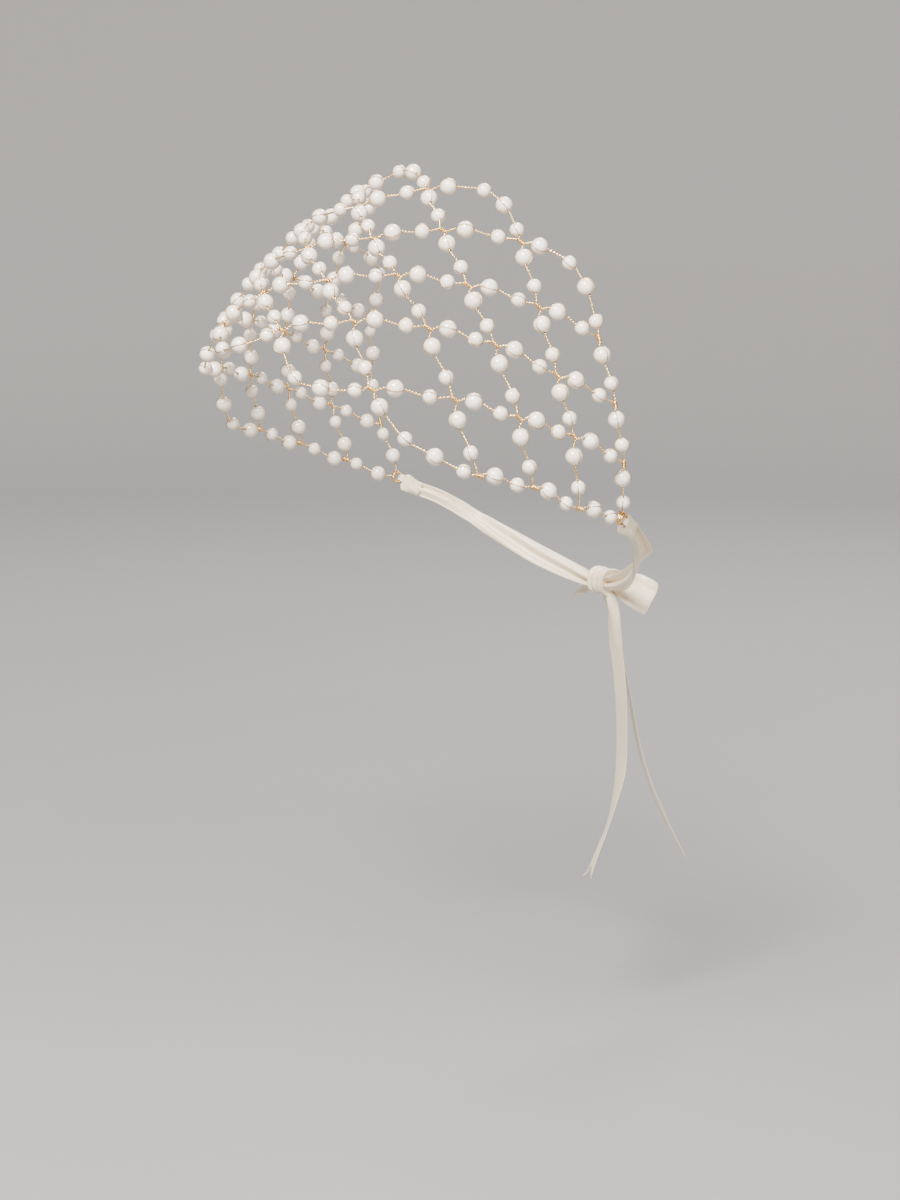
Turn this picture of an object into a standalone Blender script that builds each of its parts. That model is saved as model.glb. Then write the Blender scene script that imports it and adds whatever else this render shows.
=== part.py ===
"""A pearl net headband: eight wired strings of pearls crossed into a net, with a ribbon to tie it on.

The net is shown as it sits on a head that faces -Y, with the wearer's left at +X and up at +Z. The
origin is the point of the head, on its middle plane, that the centre of the net rests on.
"""

import math
from collections import namedtuple

import bmesh
import bpy
from mathutils import Vector

# Head that the net is bent to, in metres and degrees
HEAD_HALF_WIDTH = 0.081
HEAD_HALF_DEPTH = 0.1055
HEAD_HALF_HEIGHT = 0.088
HEAD_TILT = 37.0
NET_LEAN = 49.0

# Lattice: lines cross at stations counted from ring to ring, in lanes counted from front to rear
LAST_LINE = 8
WIDEST_LANE = 4
STATION_STEP = 15.0
STATION_EASE = 0.00575
LANE_STEP = 8.0
LANE_NARROWING = 0.1
LANE_REAR_GAIN = 0.1
BORDER_LAG = 0.13

# Pearls, with the share of the way along each stretch and the sideways shift of each pearl
BIG_PEARL_RADIUS = 0.003
SMALL_PEARL_RADIUS = 0.00255
PEARL_SIDES = 10
PEARL_RING_PLACE = 0.45
PEARL_RING_SIZE = 0.94
Stretch = namedtuple("Stretch", "small_share big_share small_shift big_shift")
ALONG_ROW = Stretch(small_share=0.30, big_share=0.72, small_shift=0.0003, big_shift=-0.001)
ALONG_COLUMN = Stretch(small_share=0.30, big_share=0.74, small_shift=0.0001, big_shift=0.001)
CORNER_START_SHIFT = -0.08
CORNER_END_SMALL_SHIFT = -0.07
CORNER_END_BIG_SHIFT = -0.01
RING_END_SHIFT = -0.11

# Wire: two thin wires twisted together, drawn as one round wire
WIRE_RADIUS = 0.0004
WIRE_SIDES = 5
CROSSING_RISE = 0.0006
END_OVERRUN = 0.0012

# Crossings that were wound off the even grid: degrees along and across, and millimetres of lift
Nudge = namedtuple("Nudge", "row column along across lift")
NUDGES = [
    Nudge(0, 1, 0.0, -2.0, 0),
    Nudge(0, 2, 0.0, -1.0, 0),
    Nudge(0, 3, -1.5, -1.5, 0),
    Nudge(1, 0, -1.0, 0.0, 0),
    Nudge(1, 1, 1.0, 0.0, 0),
    Nudge(1, 4, 2.0, -2.0, 0),
    Nudge(1, 5, 2.0, -3.0, 0),
    Nudge(2, 0, -1.5, -1.0, 0),
    Nudge(2, 1, 0.0, -1.0, 0),
    Nudge(2, 2, 1.0, 1.0, 0),
    Nudge(2, 3, 0.0, 1.5, 0),
    Nudge(2, 4, 0.0, 1.0, 0),
    Nudge(2, 5, 1.0, 0.0, 0),
    Nudge(2, 6, 1.0, -1.5, 1),
    Nudge(3, 0, -1.0, -1.5, 0),
    Nudge(3, 3, -1.0, 0.0, 0),
    Nudge(3, 4, -2.0, -1.0, 0),
    Nudge(4, 1, 0.0, 2.0, 0),
    Nudge(4, 3, -3.5, -2.5, 0),
    Nudge(4, 4, -3.0, -2.0, 0),
    Nudge(5, 1, -1.0, 0.0, 3),
    Nudge(5, 2, 0.0, 1.0, 0),
    Nudge(5, 3, -4.0, -2.5, 0),
    Nudge(6, 2, 0.0, -1.5, 2),
    Nudge(6, 3, -1.0, 0.0, 0),
]
MILLIMETRE = 0.001

# End rings
RING_RADIUS = 0.002
RING_WIRE_RADIUS = 0.0005
RING_STEPS = 12
RING_WIRE_STEPS = 6
PIECE_GAP = 0.0003

# Ribbon, with its places measured from the middle of the head, and its spread as a share of its width
RIBBON_WIDTH = 0.01
RIBBON_THICKNESS = 0.001
RIBBON_STEPS = 3
RING_KNOT_SIZE = Vector((0.0034, 0.0034, 0.0027))
RING_KNOT_DROP = 0.0068
KNOT_LOOP_RADIUS = 0.0009
KNOT_LOOP_BEND = 0.0018
KNOT_LOOP_STEPS = 6
KNOT_SIDES = 10
KNOT_LEVELS = 6
BOW_KNOT_PLACE = Vector((0.0, 0.074, -0.065))
BOW_KNOT_SIZE = Vector((0.0058, 0.0052, 0.0052))
Row = namedtuple("Row", "x y z across_x across_y across_z spread")

# Nape ribbon, from the ring knot round to the bow knot
NAPE_RIBBON = [
    Row(0.0686, 0.0325, -0.0333, 0.21, 0.61, 0.76, 0.50),
    Row(0.0640, 0.0376, -0.0357, 0.31, 0.63, 0.71, 0.50),
    Row(0.0595, 0.0435, -0.0396, 0.41, 0.73, 0.55, 0.56),
    Row(0.0545, 0.0492, -0.0442, 0.46, 0.82, 0.33, 0.70),
    Row(0.0480, 0.0532, -0.0482, 0.10, 0.72, 0.68, 0.72),
    Row(0.0395, 0.0580, -0.0528, 0.00, 0.45, 0.89, 0.80),
    Row(0.0300, 0.0630, -0.0575, 0.05, 0.20, 0.98, 0.85),
    Row(0.0160, 0.0690, -0.0625, 0.00, 0.10, 1.00, 0.70),
    Row(0.0054, 0.0712, -0.0648, 0.00, 0.05, 1.00, 0.50),
]

# Bow loop, out from the bow knot and back to it
BOW_LOOP = [
    Row(0.0054, 0.0776, -0.0645, 0.00, 0.15, 0.99, 0.60),
    Row(0.0105, 0.0815, -0.0662, -0.06, 0.50, 0.86, 0.95),
    Row(0.0155, 0.0824, -0.0675, -0.09, 0.60, 0.80, 1.00),
    Row(0.0195, 0.0817, -0.0682, -0.10, 0.62, 0.78, 1.00),
    Row(0.0220, 0.0799, -0.0698, -0.06, 0.60, 0.80, 1.00),
    Row(0.0227, 0.0784, -0.0708, -0.06, 0.60, 0.80, 1.00),
    Row(0.0212, 0.0772, -0.0706, -0.10, 0.58, 0.81, 1.00),
    Row(0.0168, 0.0764, -0.0690, -0.14, 0.52, 0.84, 1.00),
    Row(0.0115, 0.0756, -0.0672, -0.14, 0.45, 0.88, 0.95),
    Row(0.0060, 0.0743, -0.0655, 0.00, 0.10, 0.99, 0.60),
]

# Tails, from the bow knot down
LEFT_TAIL = [
    Row(0.0036, 0.0735, -0.0705, 0.99, -0.13, 0.00, 0.60),
    Row(0.0035, 0.0750, -0.0790, 0.99, -0.14, 0.00, 0.92),
    Row(0.0034, 0.0768, -0.0900, 0.99, -0.14, 0.00, 1.00),
    Row(0.0041, 0.0783, -0.1020, 0.98, -0.17, 0.00, 1.00),
    Row(0.0045, 0.0793, -0.1160, 0.98, -0.21, 0.00, 1.00),
    Row(0.0045, 0.0798, -0.1300, 0.97, -0.24, -0.01, 1.00),
    Row(0.0042, 0.0795, -0.1410, 0.96, -0.28, -0.02, 1.00),
    Row(0.0033, 0.0780, -0.1513, 0.89, -0.46, 0.01, 1.00),
    Row(0.0018, 0.0753, -0.1635, 0.81, -0.58, 0.04, 1.00),
    Row(0.0001, 0.0728, -0.1721, 0.82, -0.57, 0.03, 1.00),
    Row(-0.0023, 0.0696, -0.1832, 0.86, -0.51, 0.01, 1.00),
]
RIGHT_TAIL = [
    Row(-0.0034, 0.0775, -0.0699, 0.87, -0.49, 0.00, 0.50),
    Row(-0.0030, 0.0813, -0.0817, 0.87, -0.49, -0.02, 0.90),
    Row(-0.0018, 0.0845, -0.0979, 0.86, -0.50, -0.05, 1.00),
    Row(-0.0013, 0.0878, -0.1129, 0.87, -0.48, -0.05, 1.00),
    Row(-0.0003, 0.0908, -0.1285, 0.88, -0.47, -0.05, 1.00),
    Row(0.0010, 0.0947, -0.1433, 0.90, -0.42, -0.07, 1.00),
    Row(0.0023, 0.1004, -0.1578, 0.93, -0.36, -0.08, 1.00),
    Row(0.0034, 0.1076, -0.1720, 0.92, -0.38, -0.07, 1.00),
    Row(0.0038, 0.1136, -0.1822, 0.90, -0.42, -0.05, 1.00),
]

# Colours
PEARL_COLOUR = (0.93, 0.90, 0.85)
WIRE_COLOUR = (0.83, 0.62, 0.34)
RIBBON_COLOUR = (0.90, 0.85, 0.75)


def clear_scene():
    for item in list(bpy.data.objects):
        bpy.data.objects.remove(item)


def collection(name):
    made = bpy.data.collections.new(name)
    bpy.context.scene.collection.children.link(made)
    return made


def material(name, colour, roughness, metallic=0.0):
    made = bpy.data.materials.new(name)
    made.use_nodes = True
    shader = made.node_tree.nodes["Principled BSDF"]
    shader.inputs["Base Color"].default_value = (*colour, 1.0)
    shader.inputs["Roughness"].default_value = roughness
    shader.inputs["Metallic"].default_value = metallic
    made.diffuse_color = (*colour, 1.0)
    return made


def add_mesh(mesh_maker, name, home, *materials):
    """Turns a bmesh into a smooth-shaded object in the collection home."""
    mesh = bpy.data.meshes.new(name)
    mesh_maker.to_mesh(mesh)
    mesh_maker.free()
    for entry in materials:
        mesh.materials.append(entry)
    mesh.shade_smooth()
    mesh.set_sharp_from_angle(angle=math.radians(50))
    made = bpy.data.objects.new(name, mesh)
    home.objects.link(made)
    return made


def head_surface(direction):
    """The point of the net's surface in a direction from the head's middle, and the normal there."""
    tilt = math.radians(HEAD_TILT)
    cosine, sine = math.cos(tilt), math.sin(tilt)
    side = direction.x
    deep = direction.y * cosine + direction.z * sine
    high = direction.z * cosine - direction.y * sine
    radii = (HEAD_HALF_WIDTH, HEAD_HALF_DEPTH, HEAD_HALF_HEIGHT)
    size = math.sqrt(sum((part / radius) ** 2 for part, radius in zip((side, deep, high), radii)))
    slope_side, slope_deep, slope_high = (
        part / radius**2 for part, radius in zip((side, deep, high), radii)
    )
    normal = Vector(
        (
            slope_side,
            slope_deep * cosine - slope_high * sine,
            slope_high * cosine + slope_deep * sine,
        )
    )
    return direction / size, normal.normalized()


def net_direction(along, across):
    """The direction at an angle along the net, from left to right, and an angle across it to the rear."""
    along, across, lean = (math.radians(angle) for angle in (along, across, NET_LEAN))
    side = math.cos(across) * math.cos(along)
    forward = math.cos(across) * math.sin(along)
    rearward = math.sin(across)
    return Vector(
        (
            side,
            rearward * math.sin(lean) - forward * math.cos(lean),
            rearward * math.cos(lean) + forward * math.sin(lean),
        )
    )


def seat_offset():
    """Where the head's middle lies, when the origin is on the head under the centre of the net."""
    point, normal = head_surface(net_direction(90.0, 0.0))
    return normal * BIG_PEARL_RADIUS - point


def lattice():
    """The direction and the lift of each crossing, by its row and its column."""
    nudges = {(nudge.row, nudge.column): nudge for nudge in NUDGES}
    even = Nudge(0, 0, 0.0, 0.0, 0)
    crossings = {}
    for row in range(LAST_LINE + 1):
        for column in range(LAST_LINE + 1):
            lane = row - column
            if abs(lane) > WIDEST_LANE:
                continue
            steps = LAST_LINE - (row + column)
            lag = BORDER_LAG * lane**2 * min(abs(steps), WIDEST_LANE) / WIDEST_LANE
            along = 90.0 - STATION_STEP * steps + STATION_EASE * steps**3 - math.copysign(lag, steps)
            narrowing = 1.0 - LANE_NARROWING * (steps / LAST_LINE) ** 2
            across = LANE_STEP * lane * narrowing + LANE_REAR_GAIN * lane**2
            nudge = nudges.get((row, column), even)
            direction = net_direction(along + nudge.along, across + nudge.across)
            crossings[row, column] = (direction, nudge.lift * MILLIMETRE)
    return crossings


def corner(crossing):
    """Whether a crossing is the tip of a scallop, where a string turns back and none crosses it."""
    return abs(crossing[0] - crossing[1]) == WIDEST_LANE


def strand_lines():
    """The crossings that each string runs through, in order, by the string's name."""
    last, turn = LAST_LINE, WIDEST_LANE
    lines = {
        "strand_front_left": [(0, column) for column in range(turn)]
        + [(row, turn) for row in range(last)]
        + [(last, column) for column in range(turn, last + 1)],
        "strand_rear_left": [(row, 0) for row in range(turn)]
        + [(turn, column) for column in range(last)]
        + [(row, last) for row in range(turn, last + 1)],
    }
    for line in range(1, turn):
        lines[f"strand_front_{line}"] = [(line, column) for column in range(line + turn)] + [
            (row, line + turn) for row in range(line, last + 1)
        ]
        lines[f"strand_rear_{line}"] = [(row, line) for row in range(line + turn)] + [
            (line + turn, column) for column in range(line, last + 1)
        ]
    return lines


Stop = namedtuple("Stop", "place normal pearl")


def between(crossings, start, end, share, shift):
    """The place on the net's surface a share of the way from one crossing to the next."""
    first, first_lift = crossings[start]
    second, second_lift = crossings[end]
    place, normal = head_surface(first.lerp(second, share).normalized())
    line = head_surface(second)[0] - head_surface(first)[0]
    sideways = normal.cross(line).normalized()
    lift = first_lift + (second_lift - first_lift) * share
    return place + normal * lift + sideways * shift, normal


def pearl_stops(crossings, start, end):
    """The small and the big pearl of one stretch of string."""
    stretch = ALONG_ROW if start[0] == end[0] else ALONG_COLUMN
    small_share, big_share = stretch.small_share, stretch.big_share
    if corner(start):
        small_share += CORNER_START_SHIFT
    if corner(end):
        small_share += CORNER_END_SMALL_SHIFT
        big_share += CORNER_END_BIG_SHIFT
    if end == (LAST_LINE, LAST_LINE):
        small_share += RING_END_SHIFT
        big_share += RING_END_SHIFT
    small = between(crossings, start, end, small_share, stretch.small_shift)
    big = between(crossings, start, end, big_share, stretch.big_shift)
    return [Stop(*small, SMALL_PEARL_RADIUS), Stop(*big, BIG_PEARL_RADIUS)]


def crossing_stop(crossings, crossing, rise):
    direction, lift = crossings[crossing]
    place, normal = head_surface(direction)
    return Stop(place + normal * (lift + rise), normal, 0.0)


def rise_at(line, index):
    """A string that runs along a column passes over one that runs along a row."""
    before = line[max(index - 1, 0)]
    after = line[min(index + 1, len(line) - 1)]
    along_row = before[0] == after[0]
    return -CROSSING_RISE if along_row else CROSSING_RISE


def end_stop(stops, ringed):
    """The string's end: just short of its ring, or just past the string that it is wound onto."""
    end, neighbour = stops
    outward = (end.place - neighbour.place).normalized()
    if ringed:
        reach = -(RING_RADIUS + RING_WIRE_RADIUS + PIECE_GAP)
    else:
        reach = END_OVERRUN
    return Stop(end.place + outward * reach, end.normal, 0.0)


def strand_stops(crossings, line):
    """Every place that a string passes through, from end to end."""
    ringed = line[0] == (0, 0)
    stops = []
    for index, crossing in enumerate(line):
        if not corner(crossing):
            rise = 0.0 if ringed and index in (0, len(line) - 1) else rise_at(line, index)
            stops.append(crossing_stop(crossings, crossing, rise))
        if index < len(line) - 1:
            stops.extend(pearl_stops(crossings, crossing, line[index + 1]))
    stops[0] = end_stop(stops[:2], ringed)
    stops[-1] = end_stop([stops[-1], stops[-2]], ringed)
    return stops


Section = namedtuple("Section", "place direction normal radius sides pearl")


def strand_sections(stops):
    """The rings of points that the string's skin runs through."""
    sections = []
    for index, stop in enumerate(stops):
        before = stops[max(index - 1, 0)].place
        after = stops[min(index + 1, len(stops) - 1)].place
        direction = (after - before).normalized()
        if not stop.pearl:
            sections.append(Section(stop.place, direction, stop.normal, WIRE_RADIUS, WIRE_SIDES, False))
            continue
        for place, radius, sides in (
            (-1.0, WIRE_RADIUS, WIRE_SIDES),
            (-PEARL_RING_PLACE, PEARL_RING_SIZE * stop.pearl, PEARL_SIDES),
            (PEARL_RING_PLACE, PEARL_RING_SIZE * stop.pearl, PEARL_SIDES),
            (1.0, WIRE_RADIUS, WIRE_SIDES),
        ):
            point = stop.place + direction * (stop.pearl * place)
            sections.append(Section(point, direction, stop.normal, radius, sides, True))
    return sections


def ring_of_points(builder, section):
    sideways = section.normal.cross(section.direction).normalized()
    upward = section.direction.cross(sideways)
    points = []
    for step in range(section.sides):
        turn = 2 * math.pi * step / section.sides
        offset = sideways * math.cos(turn) + upward * math.sin(turn)
        points.append(builder.verts.new(section.place + offset * section.radius))
    return points


def skin_between(builder, first, second):
    """Faces between two rings of points, of which one may have twice the points of the other."""
    count = max(len(first), len(second))
    faces = []
    for step in range(count):
        corners = [
            ring[place * len(ring) // count % len(ring)]
            for ring, order in ((first, (step, step + 1)), (second, (step + 1, step)))
            for place in order
        ]
        faces.append(builder.faces.new(list(dict.fromkeys(corners))))
    return faces


def build_strand(name, stops, home, pearl, wire):
    """One string: its wire and its pearls as one closed skin."""
    builder = bmesh.new()
    sections = strand_sections(stops)
    rings = [ring_of_points(builder, section) for section in sections]
    for index in range(len(rings) - 1):
        is_pearl = sections[index].pearl and sections[index + 1].pearl
        same_pearl = is_pearl and PEARL_SIDES in (len(rings[index]), len(rings[index + 1]))
        for face in skin_between(builder, rings[index], rings[index + 1]):
            face.material_index = 0 if same_pearl else 1
    for cap in (list(reversed(rings[0])), rings[-1]):
        builder.faces.new(cap).material_index = 1
    bmesh.ops.recalc_face_normals(builder, faces=builder.faces)
    bmesh.ops.triangulate(builder, faces=builder.faces)
    return add_mesh(builder, name, home, pearl, wire)


def end_frame(crossings, end, ribbon_start):
    """Where an end ring lies: its middle, the normal of its plane, and the way its ribbon leaves."""
    direction, _ = crossings[end]
    middle, normal = head_surface(direction)
    heading = ribbon_start - middle
    outlet = (heading - normal * heading.dot(normal)).normalized()
    return middle, normal, outlet


def build_ring(name, frame, home, wire):
    middle, normal, _ = frame
    bpy.ops.mesh.primitive_torus_add(
        major_segments=RING_STEPS,
        minor_segments=RING_WIRE_STEPS,
        major_radius=RING_RADIUS,
        minor_radius=RING_WIRE_RADIUS,
        location=middle,
        rotation=normal.to_track_quat("Z", "Y").to_euler(),
    )
    made = bpy.context.object
    made.name = name
    made.data.materials.append(wire)
    made.data.shade_smooth()
    for holder in list(made.users_collection):
        holder.objects.unlink(made)
    home.objects.link(made)
    return made


def add_lump(name, middle, size, axes, home, cloth):
    """A rounded knot of cloth, with its three half sizes along the given axes."""
    builder = bmesh.new()
    bmesh.ops.create_uvsphere(builder, u_segments=KNOT_SIDES, v_segments=KNOT_LEVELS, radius=1.0)
    for vertex in builder.verts:
        vertex.co = middle + sum(
            (axis * part * extent for axis, part, extent in zip(axes, vertex.co, size)), Vector()
        )
    bmesh.ops.recalc_face_normals(builder, faces=builder.faces)
    return add_mesh(builder, name, home, cloth)


def add_tube(name, points, radius, home, cloth):
    """A bent tube as a mesh, made from a curve through the points."""
    curve = bpy.data.curves.new(name, "CURVE")
    curve.dimensions = "3D"
    curve.bevel_depth = radius
    curve.bevel_resolution = 1
    curve.use_fill_caps = True
    spline = curve.splines.new("POLY")
    spline.points.add(len(points) - 1)
    for point, place in zip(spline.points, points):
        point.co = (*place, 1.0)
    guide = bpy.data.objects.new(name, curve)
    home.objects.link(guide)
    graph = bpy.context.evaluated_depsgraph_get()
    mesh = bpy.data.meshes.new_from_object(guide.evaluated_get(graph))
    bpy.data.objects.remove(guide)
    builder = bmesh.new()
    builder.from_mesh(mesh)
    bmesh.ops.remove_doubles(builder, verts=builder.verts, dist=0.00001)
    return add_mesh(builder, name, home, cloth)


def build_ring_knot(name, frame, home, helpers, cloth):
    """The ribbon's knot below an end ring, with the loop of ribbon that passes through the ring."""
    middle, normal, outlet = frame
    sideways = normal.cross(outlet)
    knot_middle = middle + outlet * RING_KNOT_DROP
    knot = add_lump(name, knot_middle, RING_KNOT_SIZE, (sideways, outlet, normal), home, cloth)
    held = middle + outlet * RING_RADIUS
    bend = [
        held - outlet * KNOT_LOOP_BEND * math.sin(turn) + normal * KNOT_LOOP_BEND * math.cos(turn)
        for turn in (math.pi * step / KNOT_LOOP_STEPS for step in range(KNOT_LOOP_STEPS + 1))
    ]
    loop = add_tube(f"{name}_loop", [knot_middle, *bend, knot_middle], KNOT_LOOP_RADIUS, helpers, cloth)
    loop.hide_render = True
    loop.display_type = "WIRE"
    join = knot.modifiers.new("loop", "BOOLEAN")
    join.operation = "UNION"
    join.object = loop
    return knot


def smooth_rows(rows):
    """The rows with more rows between them, on a smooth curve through all of them."""
    finer = []
    for index in range(len(rows) - 1):
        before, start, end, after = (
            rows[min(max(index + step, 0), len(rows) - 1)] for step in (-1, 0, 1, 2)
        )
        for step in range(RIBBON_STEPS):
            share = step / RIBBON_STEPS
            finer.append(
                Row(
                    *(
                        second
                        + 0.5 * share * (third - first)
                        + share**2 * (first - 2.5 * second + 2 * third - 0.5 * fourth)
                        + share**3 * 0.5 * (3 * (second - third) + fourth - first)
                        for first, second, third, fourth in zip(before, start, end, after)
                    )
                )
            )
    return [*finer, rows[-1]]


def build_ribbon(name, rows, home, cloth, side=1):
    """A strip of ribbon through the rows, given its thickness by a modifier; side -1 mirrors it."""
    builder = bmesh.new()
    edges = []
    for row in smooth_rows(rows):
        middle = Vector((row.x * side, row.y, row.z))
        across = Vector((row.across_x * side, row.across_y, row.across_z)).normalized()
        half = across * RIBBON_WIDTH * row.spread / 2
        edges.append([builder.verts.new(middle - half), builder.verts.new(middle + half)])
    for first, second in zip(edges, edges[1:]):
        builder.faces.new((first[0], first[1], second[1], second[0]))
    made = add_mesh(builder, name, home, cloth)
    wall = made.modifiers.new("wall", "SOLIDIFY")
    wall.thickness = RIBBON_THICKNESS
    wall.offset = 0.0
    wall.use_even_offset = True
    return made


def build_ribbons(home, cloth):
    """The ribbon from ring to ring round the nape, its bow, and the bow's tails."""
    axes = (Vector((1, 0, 0)), Vector((0, 1, 0)), Vector((0, 0, 1)))
    add_lump("bow_knot", BOW_KNOT_PLACE, BOW_KNOT_SIZE, axes, home, cloth)
    for label, side in (("left", 1), ("right", -1)):
        build_ribbon(f"nape_ribbon_{label}", NAPE_RIBBON, home, cloth, side)
        build_ribbon(f"bow_loop_{label}", BOW_LOOP, home, cloth, side)
    build_ribbon("ribbon_tail_left", LEFT_TAIL, home, cloth)
    build_ribbon("ribbon_tail_right", RIGHT_TAIL, home, cloth)


def main():
    clear_scene()
    home = collection("pearl_net_headband")
    helpers = collection("cutters")
    pearl = material("pearl", PEARL_COLOUR, 0.22)
    wire = material("gold_wire", WIRE_COLOUR, 0.3, 1.0)
    satin = material("satin", RIBBON_COLOUR, 0.45)
    crossings = lattice()
    for name, line in strand_lines().items():
        build_strand(name, strand_stops(crossings, line), home, pearl, wire)
    for label, end, side in (("left", (0, 0), 1), ("right", (LAST_LINE, LAST_LINE), -1)):
        start = NAPE_RIBBON[0]
        frame = end_frame(crossings, end, Vector((start.x * side, start.y, start.z)))
        build_ring(f"end_ring_{label}", frame, home, wire)
        build_ring_knot(f"ring_knot_{label}", frame, home, helpers, satin)
    build_ribbons(home, satin)
    seat = seat_offset()
    for item in [*home.objects, *helpers.objects]:
        item.location += seat


main()
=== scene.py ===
"""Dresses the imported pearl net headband: pearls, twisted gold wire, end rings and satin ribbon.

Every place is worked out in metres from the middle of the head that the net is bent to, and is then
moved by the seat offset, so that the origin is the point that the centre of the net rests on.
"""

import bisect
import math
import random
from collections import namedtuple

import bmesh
import bpy
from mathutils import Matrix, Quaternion, Vector


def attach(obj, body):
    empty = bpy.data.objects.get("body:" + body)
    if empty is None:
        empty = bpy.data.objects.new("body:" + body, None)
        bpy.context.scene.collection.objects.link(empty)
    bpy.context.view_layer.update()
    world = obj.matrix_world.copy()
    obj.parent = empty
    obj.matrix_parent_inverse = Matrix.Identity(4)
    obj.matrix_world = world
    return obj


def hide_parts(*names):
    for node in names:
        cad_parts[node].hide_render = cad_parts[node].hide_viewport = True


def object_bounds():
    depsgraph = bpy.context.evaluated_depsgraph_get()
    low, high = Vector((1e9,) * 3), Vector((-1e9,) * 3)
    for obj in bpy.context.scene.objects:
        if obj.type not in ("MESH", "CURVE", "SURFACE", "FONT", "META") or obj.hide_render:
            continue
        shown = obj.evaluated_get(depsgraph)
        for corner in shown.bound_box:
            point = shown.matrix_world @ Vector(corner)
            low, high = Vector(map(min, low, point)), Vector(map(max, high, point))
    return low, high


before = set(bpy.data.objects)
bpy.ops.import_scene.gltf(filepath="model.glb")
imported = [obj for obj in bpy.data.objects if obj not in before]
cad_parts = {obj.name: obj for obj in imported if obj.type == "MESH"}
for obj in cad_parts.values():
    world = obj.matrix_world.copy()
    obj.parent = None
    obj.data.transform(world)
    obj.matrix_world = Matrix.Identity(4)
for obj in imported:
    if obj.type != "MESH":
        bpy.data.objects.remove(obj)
CAD_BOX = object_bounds()

bl_info = {
    "name": "Pearl Net Headband",
    "version": (1, 0, 0),
    "blender": (4, 5, 0),
    "location": "View3D > Sidebar > Pearl Net",
    "description": "Builds the pearls, wires, rings and ribbon of a pearl net headband",
    "category": "Object",
}

MILLIMETRE = 0.001

# Lattice: lines cross at stations counted from ring to ring, in lanes counted from front to rear
LAST_LINE = 8
WIDEST_LANE = 4
STATION_STEP = 15.0
STATION_EASE = 0.00575
LANE_STEP = 8.0
LANE_NARROWING = 0.1
LANE_REAR_GAIN = 0.1
BORDER_LAG = 0.13

# Crossings that were wound off the even grid: degrees along and across, and millimetres of lift
Nudge = namedtuple("Nudge", "row column along across lift")
NUDGES = [
    Nudge(*values)
    for values in (
        (0, 1, 0.0, -2.0, 0), (0, 2, 0.0, -1.0, 0), (0, 3, -1.5, -1.5, 0),
        (1, 0, -1.0, 0.0, 0), (1, 1, 1.0, 0.0, 0), (1, 4, 2.0, -2.0, 0), (1, 5, 2.0, -3.0, 0),
        (2, 0, -1.5, -1.0, 0), (2, 1, 0.0, -1.0, 0), (2, 2, 1.0, 1.0, 0), (2, 3, 0.0, 1.5, 0),
        (2, 4, 0.0, 1.0, 0), (2, 5, 1.0, 0.0, 0), (2, 6, 1.0, -1.5, 1),
        (3, 0, -1.0, -1.5, 0), (3, 3, -1.0, 0.0, 0), (3, 4, -2.0, -1.0, 0),
        (4, 1, 0.0, 2.0, 0), (4, 3, -3.5, -2.5, 0), (4, 4, -3.0, -2.0, 0),
        (5, 1, -1.0, 0.0, 3), (5, 2, 0.0, 1.0, 0), (5, 3, -4.0, -2.5, 0),
        (6, 2, 0.0, -1.5, 2), (6, 3, -1.0, 0.0, 0),
    )
]

# Where the pearls sit on a stretch of string, as shares of its length, and their sideways shifts
Stretch = namedtuple("Stretch", "small_share big_share small_shift big_shift")
ALONG_ROW = Stretch(small_share=0.30, big_share=0.72, small_shift=0.0003, big_shift=-0.001)
ALONG_COLUMN = Stretch(small_share=0.30, big_share=0.74, small_shift=0.0001, big_shift=0.001)
CORNER_START_SHIFT = -0.08
CORNER_END_SMALL_SHIFT = -0.07
CORNER_END_BIG_SHIFT = -0.01
RING_END_SHIFT = -0.11

# Ribbon rows, with places from the middle of the head and the spread as a share of the width
Row = namedtuple("Row", "x y z across_x across_y across_z spread")
NAPE_RIBBON = [
    Row(0.0686, 0.0325, -0.0333, 0.21, 0.61, 0.76, 0.50),
    Row(0.0640, 0.0376, -0.0357, 0.31, 0.63, 0.71, 0.50),
    Row(0.0595, 0.0435, -0.0396, 0.41, 0.73, 0.55, 0.56),
    Row(0.0545, 0.0492, -0.0442, 0.46, 0.82, 0.33, 0.70),
    Row(0.0480, 0.0532, -0.0482, 0.10, 0.72, 0.68, 0.72),
    Row(0.0395, 0.0580, -0.0528, 0.00, 0.45, 0.89, 0.80),
    Row(0.0300, 0.0630, -0.0575, 0.05, 0.20, 0.98, 0.85),
    Row(0.0160, 0.0690, -0.0625, 0.00, 0.10, 1.00, 0.70),
    Row(0.0054, 0.0712, -0.0648, 0.00, 0.05, 1.00, 0.50),
]
BOW_LOOP = [
    Row(0.0054, 0.0776, -0.0645, 0.00, 0.15, 0.99, 0.60),
    Row(0.0105, 0.0815, -0.0662, -0.06, 0.50, 0.86, 0.95),
    Row(0.0155, 0.0824, -0.0675, -0.09, 0.60, 0.80, 1.00),
    Row(0.0195, 0.0817, -0.0682, -0.10, 0.62, 0.78, 1.00),
    Row(0.0222, 0.0793, -0.0702, -0.06, 0.60, 0.80, 1.00),
    Row(0.0227, 0.0784, -0.0708, -0.06, 0.60, 0.80, 1.00),
    Row(0.0217, 0.0779, -0.0708, -0.08, 0.59, 0.81, 1.00),
    Row(0.0168, 0.0764, -0.0690, -0.14, 0.52, 0.84, 1.00),
    Row(0.0115, 0.0756, -0.0672, -0.14, 0.45, 0.88, 0.95),
    Row(0.0060, 0.0743, -0.0655, 0.00, 0.10, 0.99, 0.60),
]
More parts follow.
